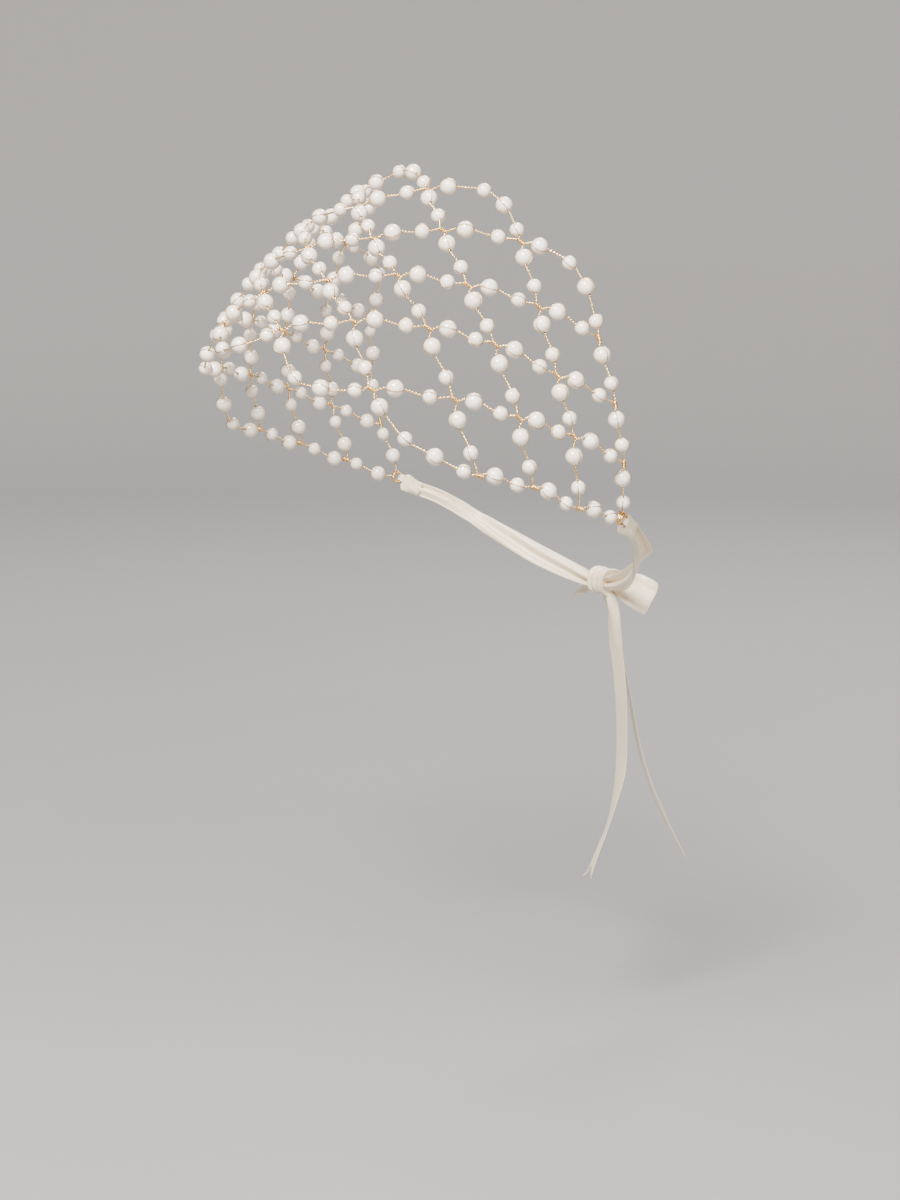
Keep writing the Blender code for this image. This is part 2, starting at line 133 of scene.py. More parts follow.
LEFT_TAIL = [
    Row(0.0036, 0.0735, -0.0705, 0.99, -0.13, 0.00, 0.60),
    Row(0.0035, 0.0750, -0.0790, 0.99, -0.14, 0.00, 0.92),
    Row(0.0034, 0.0768, -0.0900, 0.99, -0.14, 0.00, 1.00),
    Row(0.0041, 0.0783, -0.1020, 0.98, -0.17, 0.00, 1.00),
    Row(0.0045, 0.0793, -0.1160, 0.98, -0.21, 0.00, 1.00),
    Row(0.0045, 0.0798, -0.1300, 0.97, -0.24, -0.01, 1.00),
    Row(0.0042, 0.0795, -0.1410, 0.96, -0.28, -0.02, 1.00),
    Row(0.0033, 0.0780, -0.1513, 0.89, -0.46, 0.01, 1.00),
    Row(0.0018, 0.0753, -0.1635, 0.81, -0.58, 0.04, 1.00),
    Row(0.0001, 0.0728, -0.1721, 0.82, -0.57, 0.03, 1.00),
    Row(-0.0023, 0.0696, -0.1832, 0.86, -0.51, 0.01, 1.00),
]
RIGHT_TAIL = [
    Row(-0.0034, 0.0775, -0.0699, 0.87, -0.49, 0.00, 0.50),
    Row(-0.0030, 0.0813, -0.0817, 0.87, -0.49, -0.02, 0.90),
    Row(-0.0018, 0.0845, -0.0979, 0.86, -0.50, -0.05, 1.00),
    Row(-0.0013, 0.0878, -0.1129, 0.87, -0.48, -0.05, 1.00),
    Row(-0.0003, 0.0908, -0.1285, 0.88, -0.47, -0.05, 1.00),
    Row(0.0010, 0.0947, -0.1433, 0.90, -0.42, -0.07, 1.00),
    Row(0.0023, 0.1004, -0.1578, 0.93, -0.36, -0.08, 1.00),
    Row(0.0034, 0.1076, -0.1720, 0.92, -0.38, -0.07, 1.00),
    Row(0.0038, 0.1136, -0.1822, 0.90, -0.42, -0.05, 1.00),
]
RING_KNOT_DROP = 0.0068
BOW_KNOT_PLACE = Vector((0.0, 0.074, -0.065))
BOW_KNOT_HALF_SIZE = (0.0056, 0.0052, 0.0054)


# Settings that a user would change

def length_setting(name, description, default):
    return bpy.props.FloatProperty(name=name, description=description, default=default, unit="LENGTH")


def number_setting(name, description, default):
    return bpy.props.FloatProperty(name=name, description=description, default=default)


def count_setting(name, description, default, least=0):
    return bpy.props.IntProperty(name=name, description=description, default=default, min=least)


def colour_setting(name, description, default):
    return bpy.props.FloatVectorProperty(name=name, description=description, default=default, subtype="COLOR")


class NetShapeSettings(bpy.types.PropertyGroup):
    half_width: length_setting("Half width", "Half the width of the head at the pearls", 0.081)
    half_depth: length_setting("Half depth", "Half the depth of the head at the pearls", 0.1055)
    half_height: length_setting("Half height", "Half the height of the head at the pearls", 0.088)
    tilt: number_setting("Tilt", "How far the head's long axis leans, in degrees", 37.0)
    lean: number_setting("Net lean", "How far forward the net's middle line lies, in degrees", 49.0)


class PearlSettings(bpy.types.PropertyGroup):
    big_radius: length_setting("Big pearl", "Radius of the big pearls", 0.003)
    small_radius: length_setting("Small pearl", "Radius of the small pearls", 0.00255)
    hole_share: number_setting("Hole", "Radius of the drilled hole as a share of the pearl's", 0.15)
    sides: count_setting("Sides", "Faces round each pearl", 24, 8)
    rings: count_setting("Rings", "Rings of faces along each pearl", 14, 6)
    colour: colour_setting("Colour", "Colour of the pearls' middle", (0.92, 0.85, 0.76))
    # The rim colour is painted shade and painted reflection, mixed in where a pearl's surface turns away from
    # the camera.
    rim_shade_colour: colour_setting("Rim colour", "Colour of the pearls' outline", (0.50, 0.38, 0.26))
    seed: count_setting("Seed", "Seed of the pearls' own tones", 7)


class WireSettings(bpy.types.PropertyGroup):
    radius: length_setting("Wire radius", "Radius of each wire of the pair", 0.00022)
    pair_spread: length_setting("Pair spread", "From the pair's middle to each wire", 0.00022)
    twist_pitch: length_setting("Twist pitch", "Length of one full turn of the pair", 0.0023)
    steps_per_turn: count_setting("Steps", "Sections in each turn of the pair", 9, 4)
    sides: count_setting("Sides", "Faces round a wire", 6, 4)
    over_radius: length_setting("Over-wire", "Radius of the wire that runs over a pearl", 0.00012)
    gold: colour_setting("Gold", "Colour of the twisted wire", (0.82, 0.58, 0.26))
    thin_gold: colour_setting("Thin gold", "Colour of the wire over the pearls", (0.42, 0.27, 0.13))
    deep_gold: colour_setting("Deep gold", "Colour of the end rings", (0.83, 0.50, 0.16))
    copper: colour_setting("Copper", "Colour of the wound string ends", (0.78, 0.46, 0.13))


class RibbonSettings(bpy.types.PropertyGroup):
    width: length_setting("Width", "Width of the ribbon", 0.01)
    thickness: length_setting("Thickness", "Thickness of the ribbon", 0.00028)
    colour: colour_setting("Colour", "Colour of the satin", (0.78, 0.65, 0.46))
    yarns_per_mm: number_setting("Yarns", "Warp yarns in a millimetre of the satin's width", 5.0)


class StageSettings(bpy.types.PropertyGroup):
    floor_height: length_setting("Floor", "Height of the floor", -0.31)
    floor_radius: length_setting("Floor radius", "Radius of the round floor", 3.0)
    # The floor is painted paler from this colour near the lamps to the far edge's colour: painted light that
    # makes up for the lamps' falloff and the cove's shade.
    floor_colour: colour_setting("Floor colour", "Colour of the floor by the lamps", (0.25, 0.243, 0.239))
    far_edge_painted_light_colour: colour_setting("Wall colour", "Colour of the floor's far edge", (0.68, 0.665, 0.653))
    camera_place: bpy.props.FloatVectorProperty(
        name="Camera", description="Where the camera stands", default=(0.65989, -0.3769, 0.01011),
        subtype="TRANSLATION",
    )
    camera_azimuth: number_setting("Azimuth", "Way the camera stands round the net, in degrees", 56.65)
    camera_elevation: number_setting("Elevation", "How far the camera looks down, in degrees", 10.03)
    focal_length: number_setting("Focal length", "Focal length in millimetres", 64.72)
    key_power: number_setting("Key light", "Power of the key light", 64.0)
    fill_power: number_setting("Fill light", "Power of the fill light", 17.0)
    back_power: number_setting("Back light", "Power of the back light", 20.0)
    sky_strength: number_setting("Sky", "Strength of the even light", 0.35)


class HeadbandSettings(bpy.types.PropertyGroup):
    shape: bpy.props.PointerProperty(type=NetShapeSettings)
    pearls: bpy.props.PointerProperty(type=PearlSettings)
    wire: bpy.props.PointerProperty(type=WireSettings)
    ribbon: bpy.props.PointerProperty(type=RibbonSettings)
    stage: bpy.props.PointerProperty(type=StageSettings)


# The net's lattice

def head_surface(direction, shape):
    """The point of the net's surface in a direction from the head's middle, and the normal there."""
    tilt = math.radians(shape.tilt)
    cosine, sine = math.cos(tilt), math.sin(tilt)
    deep = direction.y * cosine + direction.z * sine
    high = direction.z * cosine - direction.y * sine
    turned = (direction.x, deep, high)
    radii = (shape.half_width, shape.half_depth, shape.half_height)
    size = math.sqrt(sum((part / radius) ** 2 for part, radius in zip(turned, radii)))
    side, deep, high = (part / radius**2 for part, radius in zip(turned, radii))
    normal = Vector((side, deep * cosine - high * sine, high * cosine + deep * sine))
    return direction / size, normal.normalized()


def net_direction(along, across, shape):
    """The direction at an angle along the net, from left to right, and an angle across it to the rear."""
    along, across, lean = (math.radians(angle) for angle in (along, across, shape.lean))
    side = math.cos(across) * math.cos(along)
    forward = math.cos(across) * math.sin(along)
    rearward = math.sin(across)
    deep = rearward * math.sin(lean) - forward * math.cos(lean)
    return Vector((side, deep, rearward * math.cos(lean) + forward * math.sin(lean)))


def seat_offset(settings):
    """Where the head's middle lies, when the origin is on the head under the centre of the net."""
    point, normal = head_surface(net_direction(90.0, 0.0, settings.shape), settings.shape)
    return normal * settings.pearls.big_radius - point


def lattice(shape):
    """The direction and the lift of each crossing, by its row and its column."""
    nudges = {(nudge.row, nudge.column): nudge for nudge in NUDGES}
    even = Nudge(0, 0, 0.0, 0.0, 0)
    crossings = {}
    for row in range(LAST_LINE + 1):
        for column in range(LAST_LINE + 1):
            lane = row - column
            if abs(lane) > WIDEST_LANE:
                continue
            steps = LAST_LINE - (row + column)
            lag = BORDER_LAG * lane**2 * min(abs(steps), WIDEST_LANE) / WIDEST_LANE
            along = 90.0 - STATION_STEP * steps + STATION_EASE * steps**3 - math.copysign(lag, steps)
            narrowing = 1.0 - LANE_NARROWING * (steps / LAST_LINE) ** 2
            across = LANE_STEP * lane * narrowing + LANE_REAR_GAIN * lane**2
            nudge = nudges.get((row, column), even)
            direction = net_direction(along + nudge.along, across + nudge.across, shape)
            crossings[row, column] = (direction, nudge.lift * MILLIMETRE)
    return crossings


def corner(crossing):
    """Whether a crossing is the tip of a scallop, where a string turns back and none crosses it."""
    return abs(crossing[0] - crossing[1]) == WIDEST_LANE


def strand_lines():
    """The crossings that each string runs through, in order, by the string's name."""
    last, turn = LAST_LINE, WIDEST_LANE
    lines = {
        "front_left": [(0, column) for column in range(turn)]
        + [(row, turn) for row in range(last)]
        + [(last, column) for column in range(turn, last + 1)],
    }
    lines["rear_left"] = [crossing[::-1] for crossing in lines["front_left"]]
    for line in range(1, turn):
        front = [(line, column) for column in range(line + turn)]
        front += [(row, line + turn) for row in range(line, last + 1)]
        lines[f"front_{line}"] = front
        lines[f"rear_{line}"] = [crossing[::-1] for crossing in front]
    return lines


# The pearls' places and the wires' paths

Pearl = namedtuple("Pearl", "place normal radius")


class Net:
    """The net's crossings and pearls, worked out once for all the operators."""

    def __init__(self, settings):
        self.shape = settings.shape
        self.settings = settings
        self.seat = seat_offset(settings)
        self.crossings = lattice(self.shape)
        self.lines = strand_lines()

    def surface(self, crossing):
        """The place of a crossing and the surface's normal there."""
        direction, lift = self.crossings[crossing]
        place, normal = head_surface(direction, self.shape)
        return place + normal * lift + self.seat, normal

    def pearl(self, start, end, share, shift, radius):
        """A pearl a share of the way along the stretch from one crossing to the next."""
        first, first_lift = self.crossings[start]
        second, second_lift = self.crossings[end]
        place, normal = head_surface(first.lerp(second, share).normalized(), self.shape)
        line = head_surface(second, self.shape)[0] - head_surface(first, self.shape)[0]
        sideways = normal.cross(line).normalized()
        lift = first_lift + (second_lift - first_lift) * share
        return Pearl(place + normal * lift + sideways * shift + self.seat, normal, radius)

    def stretch(self, start, end):
        """The small and the big pearl of one stretch of string."""
        kind = ALONG_ROW if start[0] == end[0] else ALONG_COLUMN
        small_share, big_share = kind.small_share, kind.big_share
        if corner(start):
            small_share += CORNER_START_SHIFT
        if corner(end):
            small_share += CORNER_END_SMALL_SHIFT
            big_share += CORNER_END_BIG_SHIFT
        if end == (LAST_LINE, LAST_LINE):
            small_share += RING_END_SHIFT
            big_share += RING_END_SHIFT
        pearls = self.settings.pearls
        small = self.pearl(start, end, small_share, kind.small_shift, pearls.small_radius)
        return [small, self.pearl(start, end, big_share, kind.big_shift, pearls.big_radius)]

    def travel(self, crossing, by_row):
        """The way that the row's or the column's string runs through a crossing."""
        row, column = crossing
        step = (0, 1) if by_row else (1, 0)
        ends = []
        for sign in (-1, 1):
            beside = (row + sign * step[0], column + sign * step[1])
            ends.append(self.surface(beside if beside in self.crossings else crossing)[0])
        return (ends[1] - ends[0]).normalized()


CROSSING_HALF_LENGTH = 0.0015
CROSSING_SPREAD = 0.00042
CROSSING_TURNS = 1.5
CROSSING_STEPS = 8
WOUND_TURNS = 6
WOUND_LENGTH = 0.0028
WOUND_START = 0.25
WOUND_RADIUS = 0.00058
WOUND_STEPS = 9


def winding(start, run, first, second, turns, steps):
    """The places of a wire that winds round a run, with the two arms and the steps of each turn."""
    count = round(turns * steps)
    path = []
    for step in range(count + 1):
        turn = 2 * math.pi * step / steps
        path.append(start + run * (step / count) + first * math.cos(turn) + second * math.sin(turn))
    return path


def crossing_path(net, crossing, by_row):
    """The places a string passes where it is twisted about the string that it crosses."""
    centre, normal = net.surface(crossing)
    other = net.travel(crossing, not by_row)
    own = net.travel(crossing, by_row)
    line = (own + other).normalized()
    sideways = normal.cross(line)
    beside = sideways * -math.copysign(CROSSING_SPREAD, own.dot(sideways))
    above = normal * (-CROSSING_SPREAD if by_row else CROSSING_SPREAD)
    half = line * CROSSING_HALF_LENGTH
    steps = CROSSING_STEPS / CROSSING_TURNS
    return winding(centre - half, half * 2, beside, above, CROSSING_TURNS, steps)


def catmull_rom(places, share):
    """A place on the smooth curve between the middle two of four places."""
    first, second, third, fourth = places
    return (
        second
        + (third - first) * 0.5 * share
        + (first - second * 2.5 + third * 2 - fourth * 0.5) * share**2
        + ((second - third) * 3 + fourth - first) * 0.5 * share**3
    )


def four_near(places, index):
    """The four places about the stretch that starts at an index, repeated past the ends."""
    return [places[min(max(index + offset, 0), len(places) - 1)] for offset in (-1, 0, 1, 2)]


def smooth_path(places, steps):
    """The places with more between them, on a smooth curve through all of them."""
    finer = []
    for index in range(len(places) - 1):
        near = four_near(places, index)
        finer.extend(catmull_rom(near, step / steps) for step in range(steps))
    return [*finer, places[-1]]


HOLE_INSIDE = 0.8
HOLE_EDGE = 1.08


class StringLayout:
    """One string: its pearls, the way each is drilled, and the bare paths of wire between them."""

    def __init__(self, net, name):
        self.pearls = []
        self.axes = []
        self.bare = []
        self._place(self._stops(net, net.lines[name]))

    def _stops(self, net, line):
        """Pearls and crossings in order, each crossing as the list of its places."""
        stops = []
        for index, crossing in enumerate(line):
            if index in (0, len(line) - 1):
                stops.append([self._end_place(net, line, index)])
            elif not corner(crossing):
                by_row = line[index - 1][0] == line[index + 1][0]
                crossed = self._crossed(net, crossing)
                stops.append(crossing_path(net, crossing, by_row) if crossed else [net.surface(crossing)[0]])
            if index < len(line) - 1:
                stops.extend(net.stretch(crossing, line[index + 1]))
        return stops

    def _end_place(self, net, line, index):
        """Where the string ends: at its ring's wire, or at the border string that it is wound on."""
        place = net.surface(line[index])[0]
        if line[0] != (0, 0):
            return place
        beside = net.surface(line[1] if index == 0 else line[-2])[0]
        return place + (beside - place).normalized() * RING_RADIUS

    def _crossed(self, net, crossing):
        """Whether two strings pass right through a crossing, and neither ends there."""
        return sum(crossing in line[1:-1] for line in net.lines.values()) > 1

    def _place(self, stops):
        """Aligns each pearl's hole with the string, and lists the wire between the pearls."""
        centres = [stop.place if isinstance(stop, Pearl) else stop for stop in stops]
        path = []
        for index, stop in enumerate(stops):
            if not isinstance(stop, Pearl):
                path.extend(stop)
                continue
            before, after = centres[index - 1], centres[index + 1]
            start = before[-1] if isinstance(before, list) else before
            end = after[0] if isinstance(after, list) else after
            axis = (end - start).normalized()
            self.pearls.append(stop)
            self.axes.append(axis)
            inside = HOLE_INSIDE * stop.radius
            edge = HOLE_EDGE * stop.radius
            path.extend([stop.place - axis * edge, stop.place - axis * inside])
            self.bare.append(path)
            path = [stop.place + axis * inside, stop.place + axis * edge]
        self.bare.append(path)


# Node trees

def socket_of(sockets, name):
    """The socket of that name that is in use, as some nodes have one for each kind of data."""
    return next(socket for socket in sockets if socket.name == name and socket.enabled)


def fill_inputs(tree, node, inputs):
    """Sets each named input, or links it to a socket or to a node's first output."""
    for name, value in inputs.items():
        target = node.inputs[name] if isinstance(name, int) else socket_of(node.inputs, name)
        if isinstance(value, bpy.types.Node):
            value = value.outputs[0]
        if isinstance(value, bpy.types.NodeSocket):
            tree.links.new(value, target)
        else:
            target.default_value = value


def add_node(tree, kind, inputs=None, **properties):
    """Adds a node, sets its properties and fills its inputs."""
    node = tree.nodes.new(kind)
    for name, value in properties.items():
        setattr(node, name, value)
    fill_inputs(tree, node, inputs or {})
    return node


def calculate(tree, operation, first, second=0.0):
    return add_node(tree, "ShaderNodeMath", {0: first, 1: second}, operation=operation)


def combine(tree, operation, first, second):
    return add_node(tree, "ShaderNodeVectorMath", {0: first, 1: second}, operation=operation)


def scaled(tree, vector, factor):
    return add_node(tree, "ShaderNodeVectorMath", {0: vector, "Scale": factor}, operation="SCALE")


def point_value(tree, name, kind):
    """A value that is kept at each point of the mesh, for a geometry tree."""
    node = add_node(tree, "GeometryNodeInputNamedAttribute", {"Name": name}, data_type=kind)
    return socket_of(node.outputs, "Attribute")


def new_geometry_tree(name, inputs):
    """A geometry tree with the named inputs, its input node and its output node."""
    tree = bpy.data.node_groups.new(name, "GeometryNodeTree")
    tree.interface.new_socket("Geometry", in_out="INPUT", socket_type="NodeSocketGeometry")
    for label, kind in inputs:
        tree.interface.new_socket(label, in_out="INPUT", socket_type=f"NodeSocket{kind}")
    tree.interface.new_socket("Geometry", in_out="OUTPUT", socket_type="NodeSocketGeometry")
    return tree, tree.nodes.new("NodeGroupInput").outputs, tree.nodes.new("NodeGroupOutput")


def finish_tree(tree, geometry, material, output):
    """Ends a tree with smooth shading, plain meshes and a material."""
    realized = add_node(tree, "GeometryNodeRealizeInstances", {"Geometry": geometry})
    smooth = add_node(tree, "GeometryNodeSetShadeSmooth", {"Geometry": realized})
    painted = add_node(tree, "GeometryNodeSetMaterial", {"Geometry": smooth, "Material": material})
    fill_inputs(tree, output, {0: painted})


def pearls_on_string_tree():
    """Puts a pearl on each point, turned to the point's hole line and sized by its radius."""
    inputs = [("Pearl", "Object"), ("Seed", "Int"), ("Material", "Material")]
    tree, given, output = new_geometry_tree("pearls_on_string", inputs)
    pearl = add_node(tree, "GeometryNodeObjectInfo", {"Object": given["Pearl"]})
    hole_line = point_value(tree, "hole_line", "FLOAT_VECTOR")
    outward = point_value(tree, "outward", "FLOAT_VECTOR")
    axes = {"Primary Axis": hole_line, "Secondary Axis": outward}
    turn = add_node(tree, "FunctionNodeAxesToRotation", axes, primary_axis="Z", secondary_axis="X")
    places = {
        "Points": given["Geometry"],
        "Instance": socket_of(pearl.outputs, "Geometry"),
        "Rotation": turn,
        "Scale": point_value(tree, "pearl_radius", "FLOAT"),
    }
    placed = add_node(tree, "GeometryNodeInstanceOnPoints", places)
    tone = add_node(tree, "FunctionNodeRandomValue", {"Seed": given["Seed"]}, data_type="FLOAT")
    values = {"Geometry": placed, "Name": "tone", "Value": socket_of(tone.outputs, "Value")}
    toned = add_node(
        tree, "GeometryNodeStoreNamedAttribute", values, data_type="FLOAT", domain="INSTANCE"
    )
    finish_tree(tree, toned, given["Material"], output)
    return tree


def wire_skin(tree, curve, radius, sides):
    circle = {"Resolution": sides, "Radius": radius}
    profile = add_node(tree, "GeometryNodeCurvePrimitiveCircle", circle, mode="RADIUS")
    parts = {"Curve": curve, "Profile Curve": profile, "Fill Caps": True}
    return add_node(tree, "GeometryNodeCurveToMesh", parts)


def twisted_pair_tree():
    """Two wires twisted about each other along every path."""
    numbers = ("Wire Radius", "Pair Spread", "Twist Pitch", "Step Length")
    inputs = [(name, "Float") for name in numbers] + [("Sides", "Int"), ("Material", "Material")]
    tree, given, output = new_geometry_tree("twisted_pair", inputs)
    curve = add_node(tree, "GeometryNodeMeshToCurve", {"Mesh": given["Geometry"]})
    steps = {"Curve": curve, "Length": given["Step Length"]}
    even = add_node(tree, "GeometryNodeResampleCurve", steps, mode="LENGTH")
    along = socket_of(add_node(tree, "GeometryNodeSplineParameter").outputs, "Length")
    normal = socket_of(add_node(tree, "GeometryNodeInputNormal").outputs, "Normal")
    beside = combine(tree, "CROSS_PRODUCT", add_node(tree, "GeometryNodeInputTangent"), normal)
    turns = calculate(tree, "DIVIDE", along, given["Twist Pitch"])
    angle = calculate(tree, "MULTIPLY", turns, 2 * math.pi)
    wires = add_node(tree, "GeometryNodeJoinGeometry")
    for start in (0.0, math.pi):
        phase = calculate(tree, "ADD", angle, start)
        outward = scaled(tree, normal, calculate(tree, "COSINE", phase))
        offset = combine(tree, "ADD", outward, scaled(tree, beside, calculate(tree, "SINE", phase)))
        place = {"Geometry": even, "Offset": scaled(tree, offset, given["Pair Spread"])}
        moved = add_node(tree, "GeometryNodeSetPosition", place)
        fill_inputs(tree, wires, {0: wire_skin(tree, moved, given["Wire Radius"], given["Sides"])})
    finish_tree(tree, wires, given["Material"], output)
    return tree


def bent_wire_tree():
    """One wire along every path."""
    inputs = [("Wire Radius", "Float"), ("Sides", "Int"), ("Material", "Material")]
    tree, given, output = new_geometry_tree("bent_wire", inputs)
    curve = add_node(tree, "GeometryNodeMeshToCurve", {"Mesh": given["Geometry"]})
    finish_tree(tree, wire_skin(tree, curve, given["Wire Radius"], given["Sides"]), given["Material"], output)
    return tree


def tree_named(name, maker):
    return bpy.data.node_groups.get(name) or maker()


# Pieces

def link_object(name, data):
    """A new object in the scene that holds the data."""
    made = bpy.data.objects.new(name, data)
    bpy.context.scene.collection.objects.link(made)
    return made


def baked(holder):
    """The plain mesh that an object's modifiers make. The object is removed."""
    graph = bpy.context.evaluated_depsgraph_get()
    made = bpy.data.meshes.new_from_object(holder.evaluated_get(graph))
    bpy.data.objects.remove(holder)
    return made


def run_tree(mesh, tree, values):
    """The plain mesh that a tree makes from a mesh, with its inputs set by their identifiers."""
    holder = link_object(mesh.name, mesh)
    modifier = holder.modifiers.new(tree.name, "NODES")
    modifier.node_group = tree
    for item in tree.interface.items_tree:
        if item.in_out == "INPUT" and item.name in values:
            modifier[item.identifier] = values[item.name]
    return baked(holder)


def with_thickness(mesh, thickness):
    """The mesh of a sheet with its wall, as a plain mesh."""
    holder = link_object(mesh.name, mesh)
    wall = holder.modifiers.new("wall", "SOLIDIFY")
    wall.thickness = thickness
    wall.offset = 0.0
    return baked(holder)


def add_piece(name, meshes, slot, *replaced):
    """Joins meshes into one piece that rides on the body and stands for the CAD nodes."""
    materials = []
    builder = bmesh.new()
    for mesh in meshes:
        first = len(builder.faces)
        builder.from_mesh(mesh)
        builder.faces.ensure_lookup_table()
        materials.extend(entry for entry in mesh.materials if entry not in materials)
        for face in builder.faces[first:]:
            face.material_index = materials.index(mesh.materials[face.material_index])
    joined = bpy.data.meshes.new(name)
    builder.to_mesh(joined)
    builder.free()
    for entry in materials:
        joined.materials.append(entry)
    for mesh in meshes:
        bpy.data.meshes.remove(mesh)
    piece = link_object(name, joined)
    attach(piece, "root")
    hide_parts(*replaced)
    return piece


def skin_rows(builder, rows, closed):
    """Fills smooth faces between rows of equal length, which run all the way round where closed."""
    for first, second in zip(rows, rows[1:]):
        cells = len(first) if closed else len(first) - 1
        for cell in range(cells):
            other = (cell + 1) % len(first)
            builder.faces.new((first[cell], first[other], second[other], second[cell])).smooth = True


def finish_mesh(builder, name, finish=None):
    """The mesh of what the builder holds, with its faces turned outward."""
    bmesh.ops.recalc_face_normals(builder, faces=builder.faces)
    mesh = bpy.data.meshes.new(name)
    builder.to_mesh(mesh)
    builder.free()
    if finish:
        mesh.materials.append(finish)
    return mesh


def ring_of(builder, radius, height, sides):
    """A ring of points about the Z axis."""
    turns = [2 * math.pi * side / sides for side in range(sides)]
    return [builder.verts.new((radius * math.cos(turn), radius * math.sin(turn), height)) for turn in turns]


HOLE_LIP = 1.3
HOLE_LIP_DEPTH = 0.03


def pearl_shape(pearls):
    """One drilled pearl of radius 1 along Z, turned from a profile, with its hole marked."""
    hole = pearls.hole_share
    lip = math.asin(hole * HOLE_LIP)
    profile = []
    for step in range(pearls.rings + 1):
        angle = lip + (math.pi - 2 * lip) * step / pearls.rings
        profile.append((math.sin(angle), math.cos(angle), 0.0))
    lip_height = math.cos(lip) - HOLE_LIP_DEPTH
    profile.extend([(hole, -lip_height, 1.0), (hole, lip_height, 1.0)])
    builder = bmesh.new()
    marks = builder.verts.layers.float.new("hole")
    rings = []
    for radius, height, mark in profile:
        rings.append(ring_of(builder, radius, height, pearls.sides))
        for vertex in rings[-1]:
            vertex[marks] = mark
    skin_rows(builder, [*rings, rings[0]], closed=True)
    return link_object("pearl_shape", finish_mesh(builder, "pearl_shape"))


def points_mesh(name, layout):
    """A mesh of loose points, one for each pearl, with what the tree reads."""
    mesh = bpy.data.meshes.new(name)
    mesh.from_pydata([pearl.place for pearl in layout.pearls], [], [])
    normals = [pearl.normal for pearl in layout.pearls]
    for label, vectors in (("hole_line", layout.axes), ("outward", normals)):
        kept = mesh.attributes.new(label, "FLOAT_VECTOR", "POINT")
        kept.data.foreach_set("vector", [part for vector in vectors for part in vector])
    radius = mesh.attributes.new("pearl_radius", "FLOAT", "POINT")
    radius.data.foreach_set("value", [pearl.radius for pearl in layout.pearls])
    return mesh


JOINT_REACH = 0.0017


def paths_mesh(name, paths, joints=()):
    """A mesh of edge chains, one for each path, marked where a chain passes near a joint."""
    vertices, edges = [], []
    for path in paths:
        start = len(vertices)
        vertices.extend(path)
        edges.extend((start + step, start + step + 1) for step in range(len(path) - 1))
    mesh = bpy.data.meshes.new(name)
    mesh.from_pydata(vertices, edges, [])
    marks = [float(any((place - joint).length < JOINT_REACH for joint in joints)) for place in vertices]
    mesh.attributes.new("near_joint", "FLOAT", "POINT").data.foreach_set("value", marks)
    return mesh


def wire_mesh(name, paths, radius, sides, finish):
    """One wire along every path, as a plain mesh."""
    tree = tree_named("bent_wire", bent_wire_tree)
    values = {"Wire Radius": radius, "Sides": sides, "Material": finish}
    return run_tree(paths_mesh(name, paths), tree, values)


OVER_WIRE_TURNS = 0.5
OVER_WIRE_STEPS = 24
OVER_WIRE_SWING = 75.0
OVER_WIRE_LIFT = 0.7


def over_wires(layout, radius, seed):
    """The wire that runs over the outside of each pearl, from one end of its hole to the other."""
    chance = random.Random(seed)
    paths = []
    for pearl, axis in zip(layout.pearls, layout.axes):
        swing = math.radians(chance.uniform(-OVER_WIRE_SWING, OVER_WIRE_SWING))
        outward = (pearl.normal - axis * pearl.normal.dot(axis)).normalized()
        outward.rotate(Quaternion(axis, swing))
        reach = pearl.radius + OVER_WIRE_LIFT * radius
        arms = (axis * -reach, outward * reach)
        paths.append(winding(pearl.place, Vector(), *arms, OVER_WIRE_TURNS, OVER_WIRE_STEPS))
    return paths


def wound_end(net, crossing, along):
    """The end of a string wound round the border string that it stops at."""
    centre, normal = net.surface(crossing)
    run = along.normalized() * WOUND_LENGTH
    sideways = normal.cross(run).normalized() * WOUND_RADIUS
    upward = along.normalized().cross(sideways)
    return winding(centre - run * WOUND_START, run, sideways, upward, WOUND_TURNS, WOUND_STEPS)


def string_ends(net, name):
    """The wound ends of a string that stops at a border string, as paths."""
    line = net.lines[name]
    paths = []
    for end, neighbour in ((line[0], line[1]), (line[-1], line[-2])):
        if end not in ((0, 0), (LAST_LINE, LAST_LINE)):
            by_row = end[0] == neighbour[0]
            paths.append(wound_end(net, end, -net.travel(end, not by_row)))
    return paths


PATH_STEPS = 5


class PEARLNET_OT_pearls(bpy.types.Operator):
    """Strings the pearls of every line of the net"""

    bl_idname = "pearlnet.pearls"
    bl_label = "Pearls"

    def execute(self, context):
        settings = context.scene.pearl_net
        net = Net(settings)
        tree = tree_named("pearls_on_string", pearls_on_string_tree)
        shape = pearl_shape(settings.pearls)
        finish = material_of("pearl_finish", pearl_look, settings.pearls)
        for index, name in enumerate(net.lines):
            values = {"Pearl": shape, "Seed": settings.pearls.seed + index, "Material": finish}
            mesh = run_tree(points_mesh(f"pearls_{name}", StringLayout(net, name)), tree, values)
            add_piece(f"pearls_{name}", [mesh], "pearl", f"strand_{name}")
        bpy.data.objects.remove(shape)
        return {"FINISHED"}


